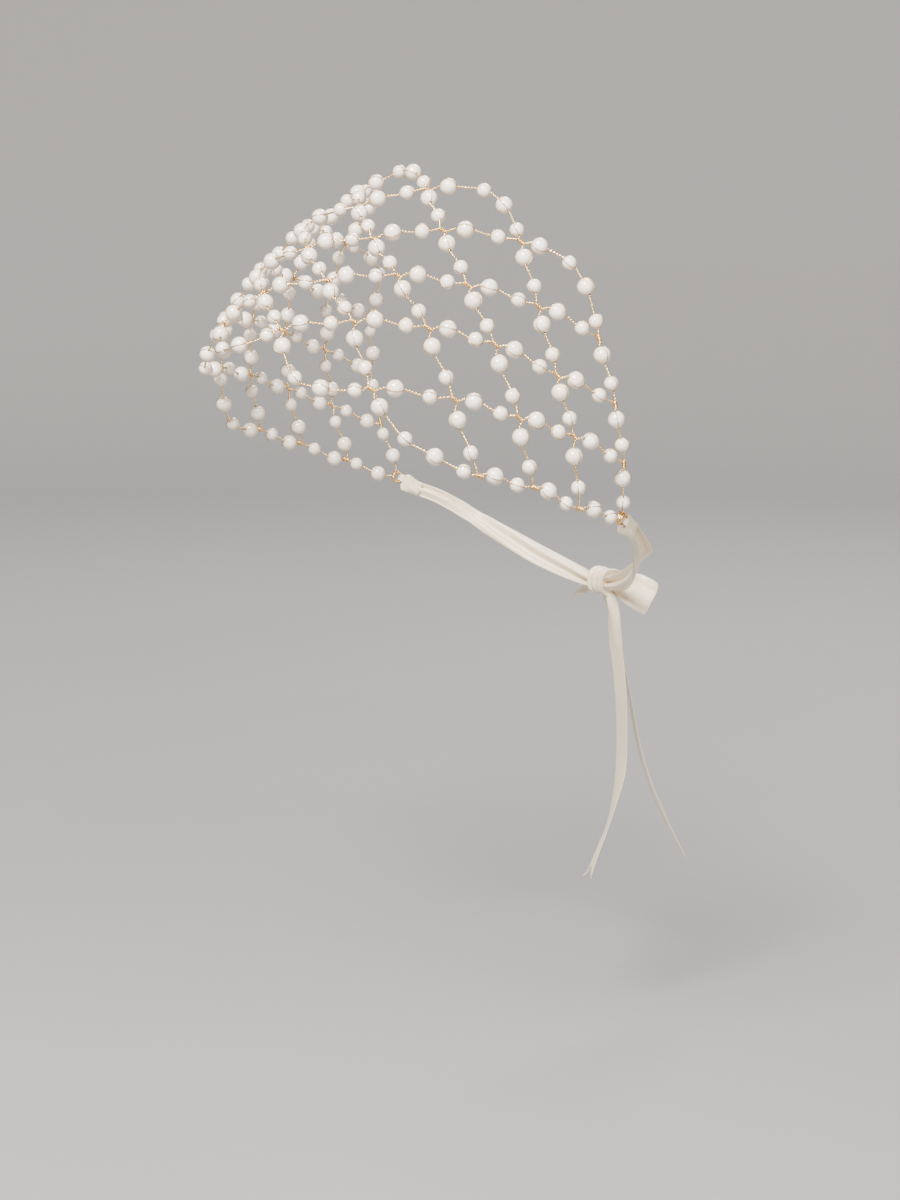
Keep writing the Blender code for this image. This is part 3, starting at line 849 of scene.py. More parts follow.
class PEARLNET_OT_wires(bpy.types.Operator):
    """Twists the wire of every line of the net, with its ends and the wires over its pearls"""

    bl_idname = "pearlnet.wires"
    bl_label = "Twisted wires"

    def execute(self, context):
        settings = context.scene.pearl_net
        wire = settings.wire
        net = Net(settings)
        gold = material_of("gold_wire_finish", wire_look, wire.gold, wire.copper)
        copper = material_of("copper_wire_finish", wire_look, wire.copper, wire.copper)
        thin = material_of("thin_wire_finish", wire_look, wire.thin_gold, wire.thin_gold)
        tree = tree_named("twisted_pair", twisted_pair_tree)
        values = {
            "Wire Radius": wire.radius,
            "Pair Spread": wire.pair_spread,
            "Twist Pitch": wire.twist_pitch,
            "Step Length": wire.twist_pitch / wire.steps_per_turn,
            "Sides": wire.sides,
            "Material": gold,
        }
        for index, name in enumerate(net.lines):
            layout = StringLayout(net, name)
            paths = [smooth_path(path, PATH_STEPS) for path in layout.bare]
            joints = [net.surface(crossing)[0] for crossing in net.lines[name]]
            meshes = [run_tree(paths_mesh("pair_paths", paths, joints), tree, values)]
            over = over_wires(layout, wire.over_radius, index)
            meshes.append(wire_mesh("over_paths", over, wire.over_radius, wire.sides - 1, thin))
            ends = string_ends(net, name)
            if ends:
                meshes.append(wire_mesh("end_paths", ends, wire.radius, wire.sides, copper))
            add_piece(f"wires_{name}", meshes, "gold_wire", f"strand_{name}")
        return {"FINISHED"}


# End rings

RING_RADIUS = 0.002
RING_WIRE_RADIUS = 0.00036
RING_WIRE_SIDES = 10
RING_TURNS = 2.6
RING_STEPS = 22
RING_HOOK_TURNS = 1
RING_HOOK_STEPS = 12
RING_HOOK_REACH = 0.00062
RING_HOOK_RISE = 0.00155
RING_HOOK_SPACING = 2.4
RING_ENDS = (("left", (0, 0), 1), ("right", (LAST_LINE, LAST_LINE), -1))


def ring_frame(net, end, side):
    """Where an end ring lies: its middle, the normal of its plane, and the way its ribbon leaves."""
    middle, normal = net.surface(end)
    start = NAPE_RIBBON[0]
    heading = Vector((start.x * side, start.y, start.z)) + net.seat - middle
    outlet = (heading - normal * heading.dot(normal)).normalized()
    return middle, normal, outlet


def ring_coil(middle, normal, outlet):
    """The ring's wire, wound in close turns like a small spring."""
    half = normal * RING_WIRE_RADIUS * RING_TURNS
    arms = (outlet * RING_RADIUS, normal.cross(outlet) * RING_RADIUS)
    return winding(middle - half, half * 2, *arms, RING_TURNS, RING_STEPS)


def ring_hook(middle, normal, toward, wire_radius):
    """A string's wire wound round the ring's wire where the string meets it."""
    flat = (toward - normal * toward.dot(normal)).normalized()
    run = normal.cross(flat) * RING_HOOK_SPACING * wire_radius * RING_HOOK_TURNS
    arms = (flat * RING_HOOK_REACH, normal * RING_HOOK_RISE)
    start = middle + flat * RING_RADIUS - run / 2
    return winding(start, run, *arms, RING_HOOK_TURNS, RING_HOOK_STEPS)


class PEARLNET_OT_rings(bpy.types.Operator):
    """Winds the small ring at each end of the net and hooks the strings onto it"""

    bl_idname = "pearlnet.rings"
    bl_label = "End rings"

    def execute(self, context):
        settings = context.scene.pearl_net
        wire = settings.wire
        net = Net(settings)
        gold = material_of("gold_wire_finish", wire_look, wire.gold, wire.copper)
        deep_gold = material_of("ring_gold_finish", wire_look, wire.deep_gold, wire.deep_gold)
        for label, end, side in RING_ENDS:
            middle, normal, outlet = ring_frame(net, end, side)
            row, column = end
            coil = [ring_coil(middle, normal, outlet)]
            hooks = [
                ring_hook(middle, normal, net.surface(place)[0] - middle, wire.radius)
                for place in ((row, column + side), (row + side, column))
            ]
            meshes = [
                wire_mesh("coil_path", coil, RING_WIRE_RADIUS, RING_WIRE_SIDES, deep_gold),
                wire_mesh("hook_paths", hooks, wire.radius, wire.sides, gold),
            ]
            add_piece(f"gold_ring_{label}", meshes, "gold_wire", f"end_ring_{label}")
        return {"FINISHED"}


# Ribbon

RIBBON_ROW_STEPS = 12
RIBBON_CELLS = 20
Gathers = namedtuple("Gathers", "folds phase drift")
NAPE_GATHERS = Gathers(folds=1.5, phase=0.4, drift=60.0)
LOOP_GATHERS = Gathers(folds=1.5, phase=1.9, drift=30.0)
TAIL_GATHERS = Gathers(folds=1.0, phase=0.9, drift=50.0)
RING_TUCK = 0.0025
KNOT_TUCK = 0.0022
TUCK_NARROWING = 0.8


def tucked_row(row, target, depth):
    """A further row that carries a ribbon's end on into a knot."""
    place = Vector((row.x, row.y, row.z))
    inside = place + (target - place).normalized() * depth
    return row._replace(x=inside.x, y=inside.y, z=inside.z, spread=row.spread * TUCK_NARROWING)


def smooth_rows(rows, side):
    """Middle, across direction and spread at close steps along the ribbon."""
    last = len(rows) - 1
    finer = []
    for index in range(last):
        near = four_near(rows, index)
        middles = [Vector((row.x * side, row.y, row.z)) for row in near]
        acrosses = [Vector((row.across_x * side, row.across_y, row.across_z)) for row in near]
        spreads = [row.spread for row in near]
        for step in range(RIBBON_ROW_STEPS + (index == last - 1)):
            share = step / RIBBON_ROW_STEPS
            across = catmull_rom(acrosses, share).normalized()
            finer.append((catmull_rom(middles, share), across, min(catmull_rom(spreads, share), 1.0)))
    return finer


def fold_height(spread, gathers, phase, place):
    """Depth of the gathers that take up the width that a narrow spread leaves over."""
    spare = max(1.0 / spread**2 - 1.0, 0.0)
    swing = math.sqrt(2.0 * spare) / (2 * math.pi * gathers.folds) * spread
    return swing * math.sin(2 * math.pi * gathers.folds * place + phase)


class RibbonCourse:
    """The course of a ribbon, looked up by the length along it."""

    def __init__(self, rows, side):
        self.rows = smooth_rows(rows, side)
        self.lengths = [0.0]
        for first, second in zip(self.rows, self.rows[1:]):
            self.lengths.append(self.lengths[-1] + (second[0] - first[0]).length)

    def at(self, length):
        """Middle, across direction, spread and facing at a length along the ribbon."""
        lower = min(bisect.bisect_right(self.lengths, length) - 1, len(self.lengths) - 2)
        share = (length - self.lengths[lower]) / (self.lengths[lower + 1] - self.lengths[lower])
        first, second = self.rows[lower], self.rows[lower + 1]
        across = first[1].lerp(second[1], share).normalized()
        before = self.rows[max(lower - 1, 0)][0]
        facing = across.cross((second[0] - before).normalized()).normalized()
        return first[0].lerp(second[0], share), across, first[2] + (second[2] - first[2]) * share, facing


def cloth_mesh(name, rows, ribbon, closed=False, solid_ends=False):
    """Satin from rows of places that each have a place on the flat cloth, with a wall unless solid."""
    builder = bmesh.new()
    cloth = builder.verts.layers.float_vector.new("cloth_place")
    grid = []
    for row in rows:
        grid.append([])
        for place, flat in row:
            vertex = builder.verts.new(place)
            vertex[cloth] = flat
            grid[-1].append(vertex)
    skin_rows(builder, grid, closed)
    if solid_ends:
        for row in (grid[0], grid[-1]):
            builder.faces.new(row).smooth = True
    mesh = finish_mesh(builder, name, material_of("satin_finish", satin_look, ribbon))
    return mesh if solid_ends else with_thickness(mesh, ribbon.thickness)


def ribbon_mesh(name, rows, side, settings, gathers, cut):
    """A ribbon's mesh and its length."""
    width = settings.ribbon.width
    seat = seat_offset(settings)
    course = RibbonCourse(rows, side)
    whole = course.lengths[-1]
    grid = []
    for row_length in course.lengths:
        line = []
        for cell in range(RIBBON_CELLS + 1):
            place = cell / RIBBON_CELLS
            length = row_length * (1.0 - cut(place) / whole)
            middle, across, spread, facing = course.at(length)
            phase = gathers.phase + gathers.drift * length
            rise = facing * fold_height(spread, gathers, phase, place) * width
            sideways = across * width * spread * (place - 0.5)
            flat = Vector(((place - 0.5) * width, length, 0.0)) / MILLIMETRE
            line.append((middle + sideways + rise + seat, flat))
        grid.append(line)
    return cloth_mesh(name, grid, settings.ribbon), whole


TAIL_FORK = 0.003
TAIL_SLANT = 0.0015
THREAD_RADIUS = 0.00016
THREAD_SIDES = 5
THREAD_BOW = 0.15
THREAD_STEPS = 4
# The bends of a thread, as shares of its hang and of its bow
THREAD_BENDS = ((0.0, 0.0), (0.35, 1.0), (0.7, 0.5), (1.0, 0.0))
# The places across the tail that threads hang from, and how far each hangs in millimetres
Thread = namedtuple("Thread", "place x y z")
FRAYED_THREADS = [
    Thread(0.03, -1.1, -1.6, -2.6),
    Thread(0.10, -0.3, -0.5, -0.9),
    Thread(0.24, -0.1, 0.1, -0.7),
    Thread(0.62, 0.2, -0.1, -0.6),
    Thread(0.97, 0.1, -0.3, -0.9),
]


def straight_cut(place):
    return 0.0


def forked_cut(place):
    """How much shorter the forked tail is at a place across it, in metres."""
    return TAIL_FORK * (1.0 - abs(2.0 * place - 1.0))


def slanted_cut(place):
    """How much shorter the slanted tail is at a place across it, in metres."""
    return TAIL_SLANT * place


def frayed_threads(settings):
    """The threads that hang loose from the forked tail's end."""
    seat = seat_offset(settings)
    course = RibbonCourse(LEFT_TAIL, 1)
    paths = []
    for thread in FRAYED_THREADS:
        length = course.lengths[-1] - forked_cut(thread.place) - THREAD_RADIUS
        middle, across, spread, facing = course.at(length)
        start = middle + across * settings.ribbon.width * spread * (thread.place - 0.5) + seat
        hang = Vector((thread.x, thread.y, thread.z)) * MILLIMETRE
        bow = facing * hang.length * THREAD_BOW
        path = [start + hang * down + bow * out for down, out in THREAD_BENDS]
        paths.append(smooth_path(path, THREAD_STEPS))
    finish = material_of("satin_finish", satin_look, settings.ribbon)
    return wire_mesh("threads", paths, THREAD_RADIUS, THREAD_SIDES, finish)


def add_ribbon(name, rows, settings, gathers, node, side=1, cut=straight_cut, more=()):
    mesh, length = ribbon_mesh(name, rows, side, settings, gathers, cut)
    piece = add_piece(name, [mesh, *more], "satin", node)


# Knots

BAND_SIDES = 56
BAND_STEPS = 5
BAND_ROUNDNESS = 0.8
BAND_PLEATS = 1.9
BAND_PLEAT_DEPTH = 0.11
BAND_PLEAT_SHARPNESS = 0.6
# How the pleats sway round the band: how far, how often in a turn, and from which angle
BAND_SWAYS = ((0.45, 1, 0.6), (0.2, 2, 1.0))
# The band from one rolled edge to the other, as shares of the knot's half size
BandRing = namedtuple("BandRing", "across size")
BAND_EDGE = [
    BandRing(-0.62, 0.06), BandRing(-0.66, 0.45), BandRing(-0.74, 0.78), BandRing(-0.86, 0.94),
    BandRing(-0.84, 1.02),
]
BAND_MIDDLE = [BandRing(-0.60, 1.00), BandRing(-0.20, 0.96), BandRing(0.20, 0.95), BandRing(0.60, 0.99)]
BAND_PROFILE = BAND_EDGE + BAND_MIDDLE + [BandRing(-ring.across, ring.size) for ring in reversed(BAND_EDGE)]


def pleat_depth(across, turn):
    """How deep the band's pleats lie at a place, from 0 on a pleat's crown to 1 between two."""
    sway = sum(reach * math.sin(waves * turn + start) for reach, waves, start in BAND_SWAYS)
    slanted = (across * BAND_PLEATS + sway) % 1.0
    crown = math.sin(math.pi * slanted**BAND_PLEAT_SHARPNESS)
    return (1.0 - crown) ** 2


def band_knot_mesh(place, half_size, ribbon):
    """The bow's knot: a band of gathered ribbon wound round the way the loops run, with rolled edges."""
    rows = []
    for across, size in smooth_path([Vector(ring) for ring in BAND_PROFILE], BAND_STEPS):
        row = []
        for side in range(BAND_SIDES):
            turn = 2 * math.pi * side / BAND_SIDES
            reach = [
                math.copysign(abs(part) ** BAND_ROUNDNESS, part) for part in (math.cos(turn), math.sin(turn))
            ]
            full = size * (1.0 - BAND_PLEAT_DEPTH * pleat_depth(across, turn))
            offset = Vector((across, full * reach[0], full * reach[1]))
            flat = Vector((across * half_size[0], turn * half_size[1], 0.0)) / MILLIMETRE
            row.append((place + offset * Vector(half_size), flat))
        rows.append(row)
    return cloth_mesh("bow_band", rows, ribbon, closed=True, solid_ends=True)


# The ring knot's sections in millimetres, with the sides and the ridge counted from the ring's middle
TabSection = namedtuple("TabSection", "along left right ridge lift above below")
RING_TAB = [
    TabSection(2.2, -2.0, 1.6, 0.4, -1.1, 0.8, 0.8),
    TabSection(3.2, -3.8, 2.6, 0.4, -0.8, 1.2, 1.1),
    TabSection(4.4, -4.0, 3.1, -0.2, -0.5, 1.6, 1.5),
    TabSection(6.7, -3.4, 2.8, -1.6, -0.1, 2.0, 1.9),
    TabSection(8.6, -3.1, 2.7, -2.0, 0.0, 2.0, 1.9),
    TabSection(10.2, -3.0, 2.9, -2.1, 0.0, 1.7, 1.6),
]
TAB_STEPS = 6
TAB_SIDES = 64
TAB_SHARPNESS = 1.45
TAB_PLEATS = 7
TAB_PLEAT_DEPTH = 0.1
TAB_PLEAT_SLANT = 0.5


def ring_tab_mesh(middle, axes, ribbon):
    """The ribbon's folded tab below a ring: a flattened sheath with sharp sides and a ridge."""
    outlet, sideways, normal = axes
    last = len(RING_TAB) - 1
    rows = []
    for step in range(last * TAB_STEPS + 1):
        index = min(step // TAB_STEPS, last - 1)
        share = step / TAB_STEPS - index
        section = TabSection(*(catmull_rom(values, share) for values in zip(*four_near(RING_TAB, index))))
        row = []
        for side in range(TAB_SIDES):
            turn = 2 * math.pi * side / TAB_SIDES
            cosine, sine = math.cos(turn), math.sin(turn)
            edge = section.right if cosine > 0 else section.left
            height = section.above if sine > 0 else -section.below
            across = section.ridge + (edge - section.ridge) * abs(cosine) ** TAB_SHARPNESS
            pleat = TAB_PLEAT_DEPTH * math.sin(TAB_PLEATS * turn + TAB_PLEAT_SLANT * section.along) * sine
            up = section.lift + height * abs(sine) ** TAB_SHARPNESS + pleat
            offset = outlet * section.along + sideways * across + normal * up
            row.append((middle + offset * MILLIMETRE, Vector((across, section.along, 0.0))))
        rows.append(row)
    return cloth_mesh("ring_tab", rows, ribbon, closed=True)


# The loop through a ring in millimetres, along the ribbon and up from the ring's plane
LoopPlace = namedtuple("LoopPlace", "along up half_width")
RING_LOOP = [
    LoopPlace(4.2, -1.0, 2.2),
    LoopPlace(2.0, -1.9, 1.6),
    LoopPlace(0.7, -1.3, 1.2),
    LoopPlace(0.4, 0.2, 1.1),
    LoopPlace(0.9, 1.4, 1.2),
    LoopPlace(2.0, 1.8, 1.4),
    LoopPlace(3.0, 1.2, 1.8),
    LoopPlace(4.2, 0.2, 2.2),
]
LOOP_STEPS = 6
LOOP_CELLS = 16
LOOP_FOLDS = 2.5
LOOP_FOLD_DEPTH = 0.12
LOOP_FOLD_SLANT = 0.1
LOOP_ARC_SCALE = 0.3


def ring_loop_mesh(middle, axes, ribbon):
    """The narrow gathered loop of ribbon that runs through a ring and back to the tab."""
    outlet, sideways, normal = axes
    half_ribbon = ribbon.width / 2 / MILLIMETRE
    path = smooth_path([Vector(place) for place in RING_LOOP], LOOP_STEPS)
    rows = []
    for index, (along, up, half_width) in enumerate(path):
        before, after = path[max(index - 1, 0)], path[min(index + 1, len(path) - 1)]
        way = Vector((after[0] - before[0], after[1] - before[1])).normalized()
        row = []
        for cell in range(LOOP_CELLS + 1):
            share = 2 * cell / LOOP_CELLS - 1
            rise = LOOP_FOLD_DEPTH * math.sin(math.pi * LOOP_FOLDS * share + LOOP_FOLD_SLANT * index)
            place = outlet * (along - way[1] * rise) + sideways * half_width * share
            place += normal * (up + way[0] * rise)
            flat = Vector((share * half_ribbon, LOOP_ARC_SCALE * index, 0.0))
            row.append((middle + place * MILLIMETRE, flat))
        rows.append(row)
    return cloth_mesh("ring_loop", rows, ribbon)


class PEARLNET_OT_ribbon(bpy.types.Operator):
    """Ties the satin ribbon: ring knots, nape ribbon, bow and tails"""

    bl_idname = "pearlnet.ribbon"
    bl_label = "Satin ribbon"

    def execute(self, context):
        settings = context.scene.pearl_net
        ribbon = settings.ribbon
        net = Net(settings)
        bow = BOW_KNOT_PLACE
        for label, end, side in RING_ENDS:
            middle, normal, outlet = ring_frame(net, end, side)
            axes = (outlet, normal.cross(outlet) * side, normal)
            knot = [ring_tab_mesh(middle, axes, ribbon), ring_loop_mesh(middle, axes, ribbon)]
            add_piece(f"satin_ring_knot_{label}", knot, "satin", f"ring_knot_{label}")
            ring_knot = middle + outlet * RING_KNOT_DROP - net.seat
            ring_knot.x *= side
            nape = [tucked_row(NAPE_RIBBON[0], ring_knot, RING_TUCK), *NAPE_RIBBON]
            nape.append(tucked_row(NAPE_RIBBON[-1], bow, KNOT_TUCK))
            node = f"nape_ribbon_{label}"
            add_ribbon(f"satin_nape_{label}", nape, settings, NAPE_GATHERS, node, side)
            loop = [tucked_row(BOW_LOOP[0], bow, KNOT_TUCK), *BOW_LOOP]
            loop.append(tucked_row(BOW_LOOP[-1], bow, KNOT_TUCK))
            node = f"bow_loop_{label}"
            add_ribbon(f"satin_bow_loop_{label}", loop, settings, LOOP_GATHERS, node, side)
        knot = band_knot_mesh(bow + net.seat, BOW_KNOT_HALF_SIZE, ribbon)
        add_piece("satin_bow_knot", [knot], "satin", "bow_knot")
        threads = [frayed_threads(settings)]
        for label, rows, cut, more in (
            ("left", LEFT_TAIL, forked_cut, threads),
            ("right", RIGHT_TAIL, slanted_cut, ()),
        ):
            tail = [tucked_row(rows[0], bow, KNOT_TUCK), *rows]
            add_ribbon(
                f"satin_tail_{label}", tail, settings, TAIL_GATHERS, f"ribbon_tail_{label}",
                cut=cut, more=more,
            )
        return {"FINISHED"}


# Materials

def material_of(name, look, *given):
    """The material of that name, made once from the shader inputs that a look works out."""
    if name not in bpy.data.materials:
        made = bpy.data.materials.new(name)
        made.use_nodes = True
        tree = made.node_tree
        fill_inputs(tree, tree.nodes["Principled BSDF"], look(tree, *given))
    return bpy.data.materials[name]


def solid(colour):
    return (*colour, 1.0)


def mix_colours(tree, factor, first, second):
    parts = {"Factor": factor, "A": first, "B": second}
    node = add_node(tree, "ShaderNodeMix", parts, data_type="RGBA", clamp_factor=True)
    return socket_of(node.outputs, "Result")


def object_place(tree):
    return add_node(tree, "ShaderNodeTexCoord").outputs["Object"]


def mottle_group():
    """Soft patches on Object coordinates, between a low and a high value."""
    name = "soft_mottle"
    if name in bpy.data.node_groups:
        return bpy.data.node_groups[name]
    tree = bpy.data.node_groups.new(name, "ShaderNodeTree")
    for label in ("Scale", "Low", "High"):
        tree.interface.new_socket(label, in_out="INPUT", socket_type="NodeSocketFloat")
    tree.interface.new_socket("Value", in_out="OUTPUT", socket_type="NodeSocketFloat")
    given = tree.nodes.new("NodeGroupInput").outputs
    output = tree.nodes.new("NodeGroupOutput")
    place = {"Vector": object_place(tree), "Scale": given["Scale"], "Detail": 3.0, "Roughness": 0.55}
    noise = add_node(tree, "ShaderNodeTexNoise", place)
    ends = {"From Min": 0.3, "From Max": 0.7, "To Min": given["Low"], "To Max": given["High"]}
    spread = add_node(tree, "ShaderNodeMapRange", {"Value": noise, **ends})
    fill_inputs(tree, output, {0: spread})
    return tree


def mottle(tree, scale, low=0.0, high=1.0):
    values = {"Scale": scale, "Low": low, "High": high}
    return add_node(tree, "ShaderNodeGroup", values, node_tree=mottle_group()).outputs["Value"]


def attribute(tree, name, kind="Fac"):
    return add_node(tree, "ShaderNodeAttribute", attribute_name=name).outputs[kind]


def bumps(tree, height, strength, distance):
    return add_node(tree, "ShaderNodeBump", {"Height": height, "Strength": strength, "Distance": distance})


PEARL_WARM = (0.88, 0.77, 0.62, 1.0)
PEARL_ROSY = (0.91, 0.75, 0.70, 1.0)
# Greenish rim colour, mixed in by a pearl's tone: painted shade and painted reflection at the rim.
PEARL_GREENISH_RIM_SHADE = (0.60, 0.56, 0.38, 1.0)
PEARL_GREENISH_SHARE = 0.6
PEARL_HOLE = (0.32, 0.22, 0.12, 1.0)


def pearl_look(tree, pearls):
    """Nacre: a glossy ivory body, clouded with rose, with painted shade and painted reflection that darken
    its rim to beige or green by the pearl's tone.
    """
    # Painted shade and painted reflection: the colour darkens to the rim colour where the surface turns away
    # from the camera.
    facing = add_node(tree, "ShaderNodeLayerWeight", {"Blend": 0.58}).outputs["Facing"]
    tone = attribute(tree, "tone")
    warm = mix_colours(tree, tone, solid(pearls.colour), PEARL_WARM)
    clouded = mix_colours(tree, mottle(tree, scale=220.0, high=0.45), warm, PEARL_ROSY)
    greenness = calculate(tree, "MULTIPLY", tone, PEARL_GREENISH_SHARE)
    rim_shade = mix_colours(tree, greenness, solid(pearls.rim_shade_colour), PEARL_GREENISH_RIM_SHADE)
    rim_shaded = mix_colours(tree, facing, clouded, rim_shade)
    return {
        "Base Color": mix_colours(tree, attribute(tree, "hole"), rim_shaded, PEARL_HOLE),
        "Roughness": mottle(tree, scale=500.0, low=0.26, high=0.38),
        "Normal": bumps(tree, mottle(tree, scale=1500.0), strength=0.06, distance=0.0001),
        "IOR": 1.53,
        "Coat Weight": 1.0,
        "Coat Roughness": 0.04,
        "Coat IOR": 1.55,
        "Thin Film Thickness": 330.0,
        "Thin Film IOR": 1.4,
    }


WIRE_PALENESS = 0.3
JOINT_TINT = 0.75


def wire_look(tree, colour, joint_colour):
    """Bright metal wire with paler patches, and another tint where strings are wound together."""
    pale = solid(WIRE_PALENESS + (1.0 - WIRE_PALENESS) * part for part in colour)
    patched = mix_colours(tree, mottle(tree, scale=900.0, high=0.35), solid(colour), pale)
    near_joint = calculate(tree, "MULTIPLY", attribute(tree, "near_joint"), JOINT_TINT)
    return {
        "Base Color": mix_colours(tree, near_joint, patched, solid(joint_colour)),
        "Roughness": mottle(tree, scale=1800.0, low=0.2, high=0.36),
        "Normal": bumps(tree, mottle(tree, scale=6000.0), strength=0.1, distance=0.00005),
        "Metallic": 1.0,
    }


EDGE_INNER = 0.8
EDGE_OUTER = 0.5
EDGE_RIBS_PER_MM = 2.2
EDGE_TINT = 0.4
YARN_HEIGHT = 0.3
STREAK_STRETCH = 6.0
SATIN_DARKEST = 0.9
SATIN_LIGHTEST = 1.08
# Darker tint at both edges: partly the woven edge's own colour, partly painted light seen through the thin
# edge.
SATIN_EDGE_AND_THROUGH_LIGHT = (0.58, 0.48, 0.35, 1.0)
SATIN_LIGHT = (0.86, 0.77, 0.63, 1.0)


def satin_look(tree, ribbon):
    """Satin: fine warp yarns with long floats along the ribbon, and a ribbed woven edge tinted darker, partly
    its own colour and partly painted light seen through the thin edge.
    """

    def product(first, second):
        return calculate(tree, "MULTIPLY", first, second)

    parts = add_node(tree, "ShaderNodeSeparateXYZ", {"Vector": attribute(tree, "cloth_place", "Vector")})
    across, along = parts.outputs["X"], parts.outputs["Y"]
    yarn = calculate(tree, "SINE", product(across, 2 * math.pi * ribbon.yarns_per_mm))
    stretched = add_node(tree, "ShaderNodeCombineXYZ", {"X": product(across, STREAK_STRETCH), "Y": along})
    noise = {"Vector": stretched, "Scale": 0.9, "Detail": 4.0, "Roughness": 0.6}
    streaks = add_node(tree, "ShaderNodeTexNoise", noise)
    half_width = ribbon.width / 2 / MILLIMETRE
    borders = {"From Min": half_width - EDGE_INNER, "From Max": half_width - EDGE_OUTER}
    edge = add_node(tree, "ShaderNodeMapRange", {"Value": calculate(tree, "ABSOLUTE", across), **borders})
    dark = solid(part * SATIN_DARKEST for part in ribbon.colour)
    light = solid(min(part * SATIN_LIGHTEST, 1.0) for part in ribbon.colour)
    streaked = mix_colours(tree, streaks, dark, light)
    # The edge tint is partly the woven edge's colour and partly painted light seen through the thin edge.
    edged = mix_colours(tree, product(edge, EDGE_TINT), streaked, SATIN_EDGE_AND_THROUGH_LIGHT)
    ribs = calculate(tree, "SINE", product(along, 2 * math.pi * EDGE_RIBS_PER_MM))
    edge_height = calculate(tree, "ADD", product(ribs, edge), edge)
    height = calculate(tree, "ADD", product(yarn, YARN_HEIGHT), edge_height)
    return {
        "Base Color": mix_colours(tree, mottle(tree, scale=60.0, high=0.25), edged, SATIN_LIGHT),
        "Roughness": mottle(tree, scale=300.0, low=0.3, high=0.4),
        "Normal": bumps(tree, height, strength=0.35, distance=0.00006),
        "Sheen Weight": 0.1,
        "Sheen Roughness": 0.3,
        "Specular IOR Level": 0.8,
        "Coat Weight": 0.2,
        "Coat Roughness": 0.25,
    }


FLOOR_NEAR = 0.5
FLOOR_FAR = 2.6
FLOOR_PATCH = 0.95


def floor_look(tree, stage):
    """Matt painted floor with faint patches, with painted light that makes it paler towards its far edge,
    where the lamps light it less.
    """
    distance = add_node(tree, "ShaderNodeVectorMath", {0: object_place(tree)}, operation="LENGTH")
    reach = {"Value": distance.outputs["Value"], "From Min": FLOOR_NEAR, "From Max": FLOOR_FAR}
    far = add_node(tree, "ShaderNodeMapRange", reach)
    # Painted light: the floor's colour grows paler with distance, towards the far edge's colour, where the
    # lamps light the floor less.
    wall = solid(stage.far_edge_painted_light_colour)
    paler = mix_colours(tree, far, solid(stage.floor_colour), wall)
    darker = mix_colours(tree, far, solid(part * FLOOR_PATCH for part in stage.floor_colour), wall)
    return {
        "Base Color": mix_colours(tree, mottle(tree, scale=3.0), paler, darker),
        "Normal": bumps(tree, mottle(tree, scale=90.0), strength=0.1, distance=0.001),
        "Roughness": 0.85,
        "Specular IOR Level": 0.2,
    }


# Stage

FLOOR_SIDES = 96
COVE_RADIUS = 1.2
COVE_STEPS = 14
WALL_HEIGHT = 0.5
WHITE = (1.0, 1.0, 1.0)
Lamp = namedtuple("Lamp", "name azimuth elevation distance size power colour")


def round_floor(stage):
    """A round floor that curves up into a low wall all round."""
    flat = stage.floor_radius - COVE_RADIUS
    profile = [(flat / 2, 0.0), (flat, 0.0)]
    for step in range(1, COVE_STEPS + 1):
        turn = math.pi / 2 * step / COVE_STEPS
        profile.append((flat + COVE_RADIUS * math.sin(turn), COVE_RADIUS * (1 - math.cos(turn))))
    profile.append((stage.floor_radius, COVE_RADIUS + WALL_HEIGHT))
    builder = bmesh.new()
    middle = builder.verts.new((0.0, 0.0, stage.floor_height))
    rings = [
        ring_of(builder, radius, stage.floor_height + height, FLOOR_SIDES) for radius, height in profile
    ]
    for side in range(FLOOR_SIDES):
        builder.faces.new((middle, rings[0][side], rings[0][(side + 1) % FLOOR_SIDES])).smooth = True
    skin_rows(builder, rings, closed=True)
    finish = material_of("floor_finish", floor_look, stage)
    link_object("studio_floor", finish_mesh(builder, "studio_floor", finish))


def stand_direction(azimuth, elevation):
    """From the object towards a camera or lamp that stands at an azimuth and an elevation."""
    azimuth, elevation = math.radians(azimuth), math.radians(elevation)
    level = math.cos(elevation)
    return Vector((math.sin(azimuth) * level, -math.cos(azimuth) * level, math.sin(elevation)))


def add_lamp(lamp, target):
    data = bpy.data.lights.new(lamp.name, "AREA")
    data.shape = "DISK"
    data.size = lamp.size
    data.energy = lamp.power
    data.color = lamp.colour
    holder = link_object(lamp.name, data)
    back = stand_direction(lamp.azimuth, lamp.elevation)
    holder.location = target + back * lamp.distance
    holder.rotation_euler = back.to_track_quat("Z", "Y").to_euler()


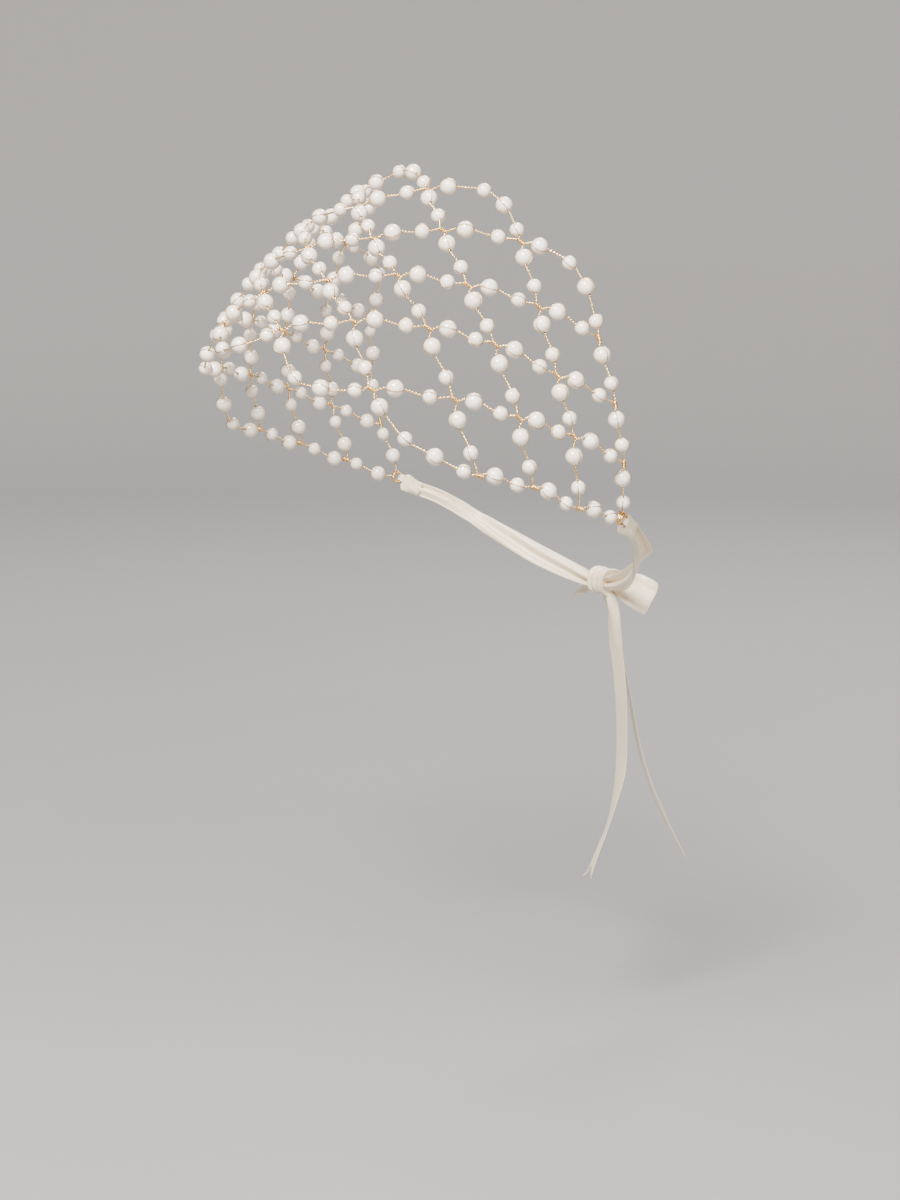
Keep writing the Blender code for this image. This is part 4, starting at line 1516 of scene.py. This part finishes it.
class PEARLNET_OT_stage(bpy.types.Operator):
    """Sets the floor, the soft lights and the camera"""

    bl_idname = "pearlnet.stage"
    bl_label = "Stage"

    def execute(self, context):
        stage = context.scene.pearl_net.stage
        round_floor(stage)
        target = (CAD_BOX[0] + CAD_BOX[1]) / 2
        for lamp in (
            Lamp("key_light", 34.0, 48.0, 1.2, 0.5, stage.key_power, (1.0, 0.96, 0.91)),
            Lamp("fill_light", 85.0, 8.0, 1.5, 0.9, stage.fill_power, (1.0, 0.98, 0.95)),
            Lamp("back_light", 215.0, 55.0, 1.4, 0.6, stage.back_power, WHITE),
        ):
            add_lamp(lamp, target)
        world = bpy.data.worlds.new("studio_sky")
        world.use_nodes = True
        sky = {"Color": solid(WHITE), "Strength": stage.sky_strength}
        fill_inputs(world.node_tree, world.node_tree.nodes["Background"], sky)
        context.scene.world = world
        data = bpy.data.cameras.new("photo_camera")
        data.lens = stage.focal_length
        data.clip_start = 0.01
        camera = link_object("photo_camera", data)
        camera.location = stage.camera_place
        back = stand_direction(stage.camera_azimuth, stage.camera_elevation)
        camera.rotation_euler = back.to_track_quat("Z", "Y").to_euler()
        context.scene.camera = camera
        return {"FINISHED"}


class PEARLNET_PT_panel(bpy.types.Panel):
    """Lists the steps that build the headband"""

    bl_idname = "PEARLNET_PT_panel"
    bl_label = "Pearl Net Headband"
    bl_space_type = "VIEW_3D"
    bl_region_type = "UI"
    bl_category = "Pearl Net"

    def draw(self, context):
        for step in STEPS:
            self.layout.operator(step.bl_idname)
        settings = context.scene.pearl_net
        for group in (settings.shape, settings.pearls, settings.wire, settings.ribbon, settings.stage):
            box = self.layout.box()
            for name in group.bl_rna.properties.keys():
                if name not in ("rna_type", "name"):
                    box.prop(group, name)


STEPS = (PEARLNET_OT_pearls, PEARLNET_OT_wires, PEARLNET_OT_rings, PEARLNET_OT_ribbon, PEARLNET_OT_stage)
SETTINGS = (NetShapeSettings, PearlSettings, WireSettings, RibbonSettings, StageSettings, HeadbandSettings)
CLASSES = (*SETTINGS, *STEPS, PEARLNET_PT_panel)


def register():
    for entry in CLASSES:
        bpy.utils.register_class(entry)
    bpy.types.Scene.pearl_net = bpy.props.PointerProperty(type=HeadbandSettings)


def unregister():
    del bpy.types.Scene.pearl_net
    for entry in reversed(CLASSES):
        bpy.utils.unregister_class(entry)


def main():
    register()
    bpy.ops.pearlnet.pearls()
    bpy.ops.pearlnet.wires()
    bpy.ops.pearlnet.rings()
    bpy.ops.pearlnet.ribbon()
    bpy.ops.pearlnet.stage()


if __name__ == "__main__":
    main()
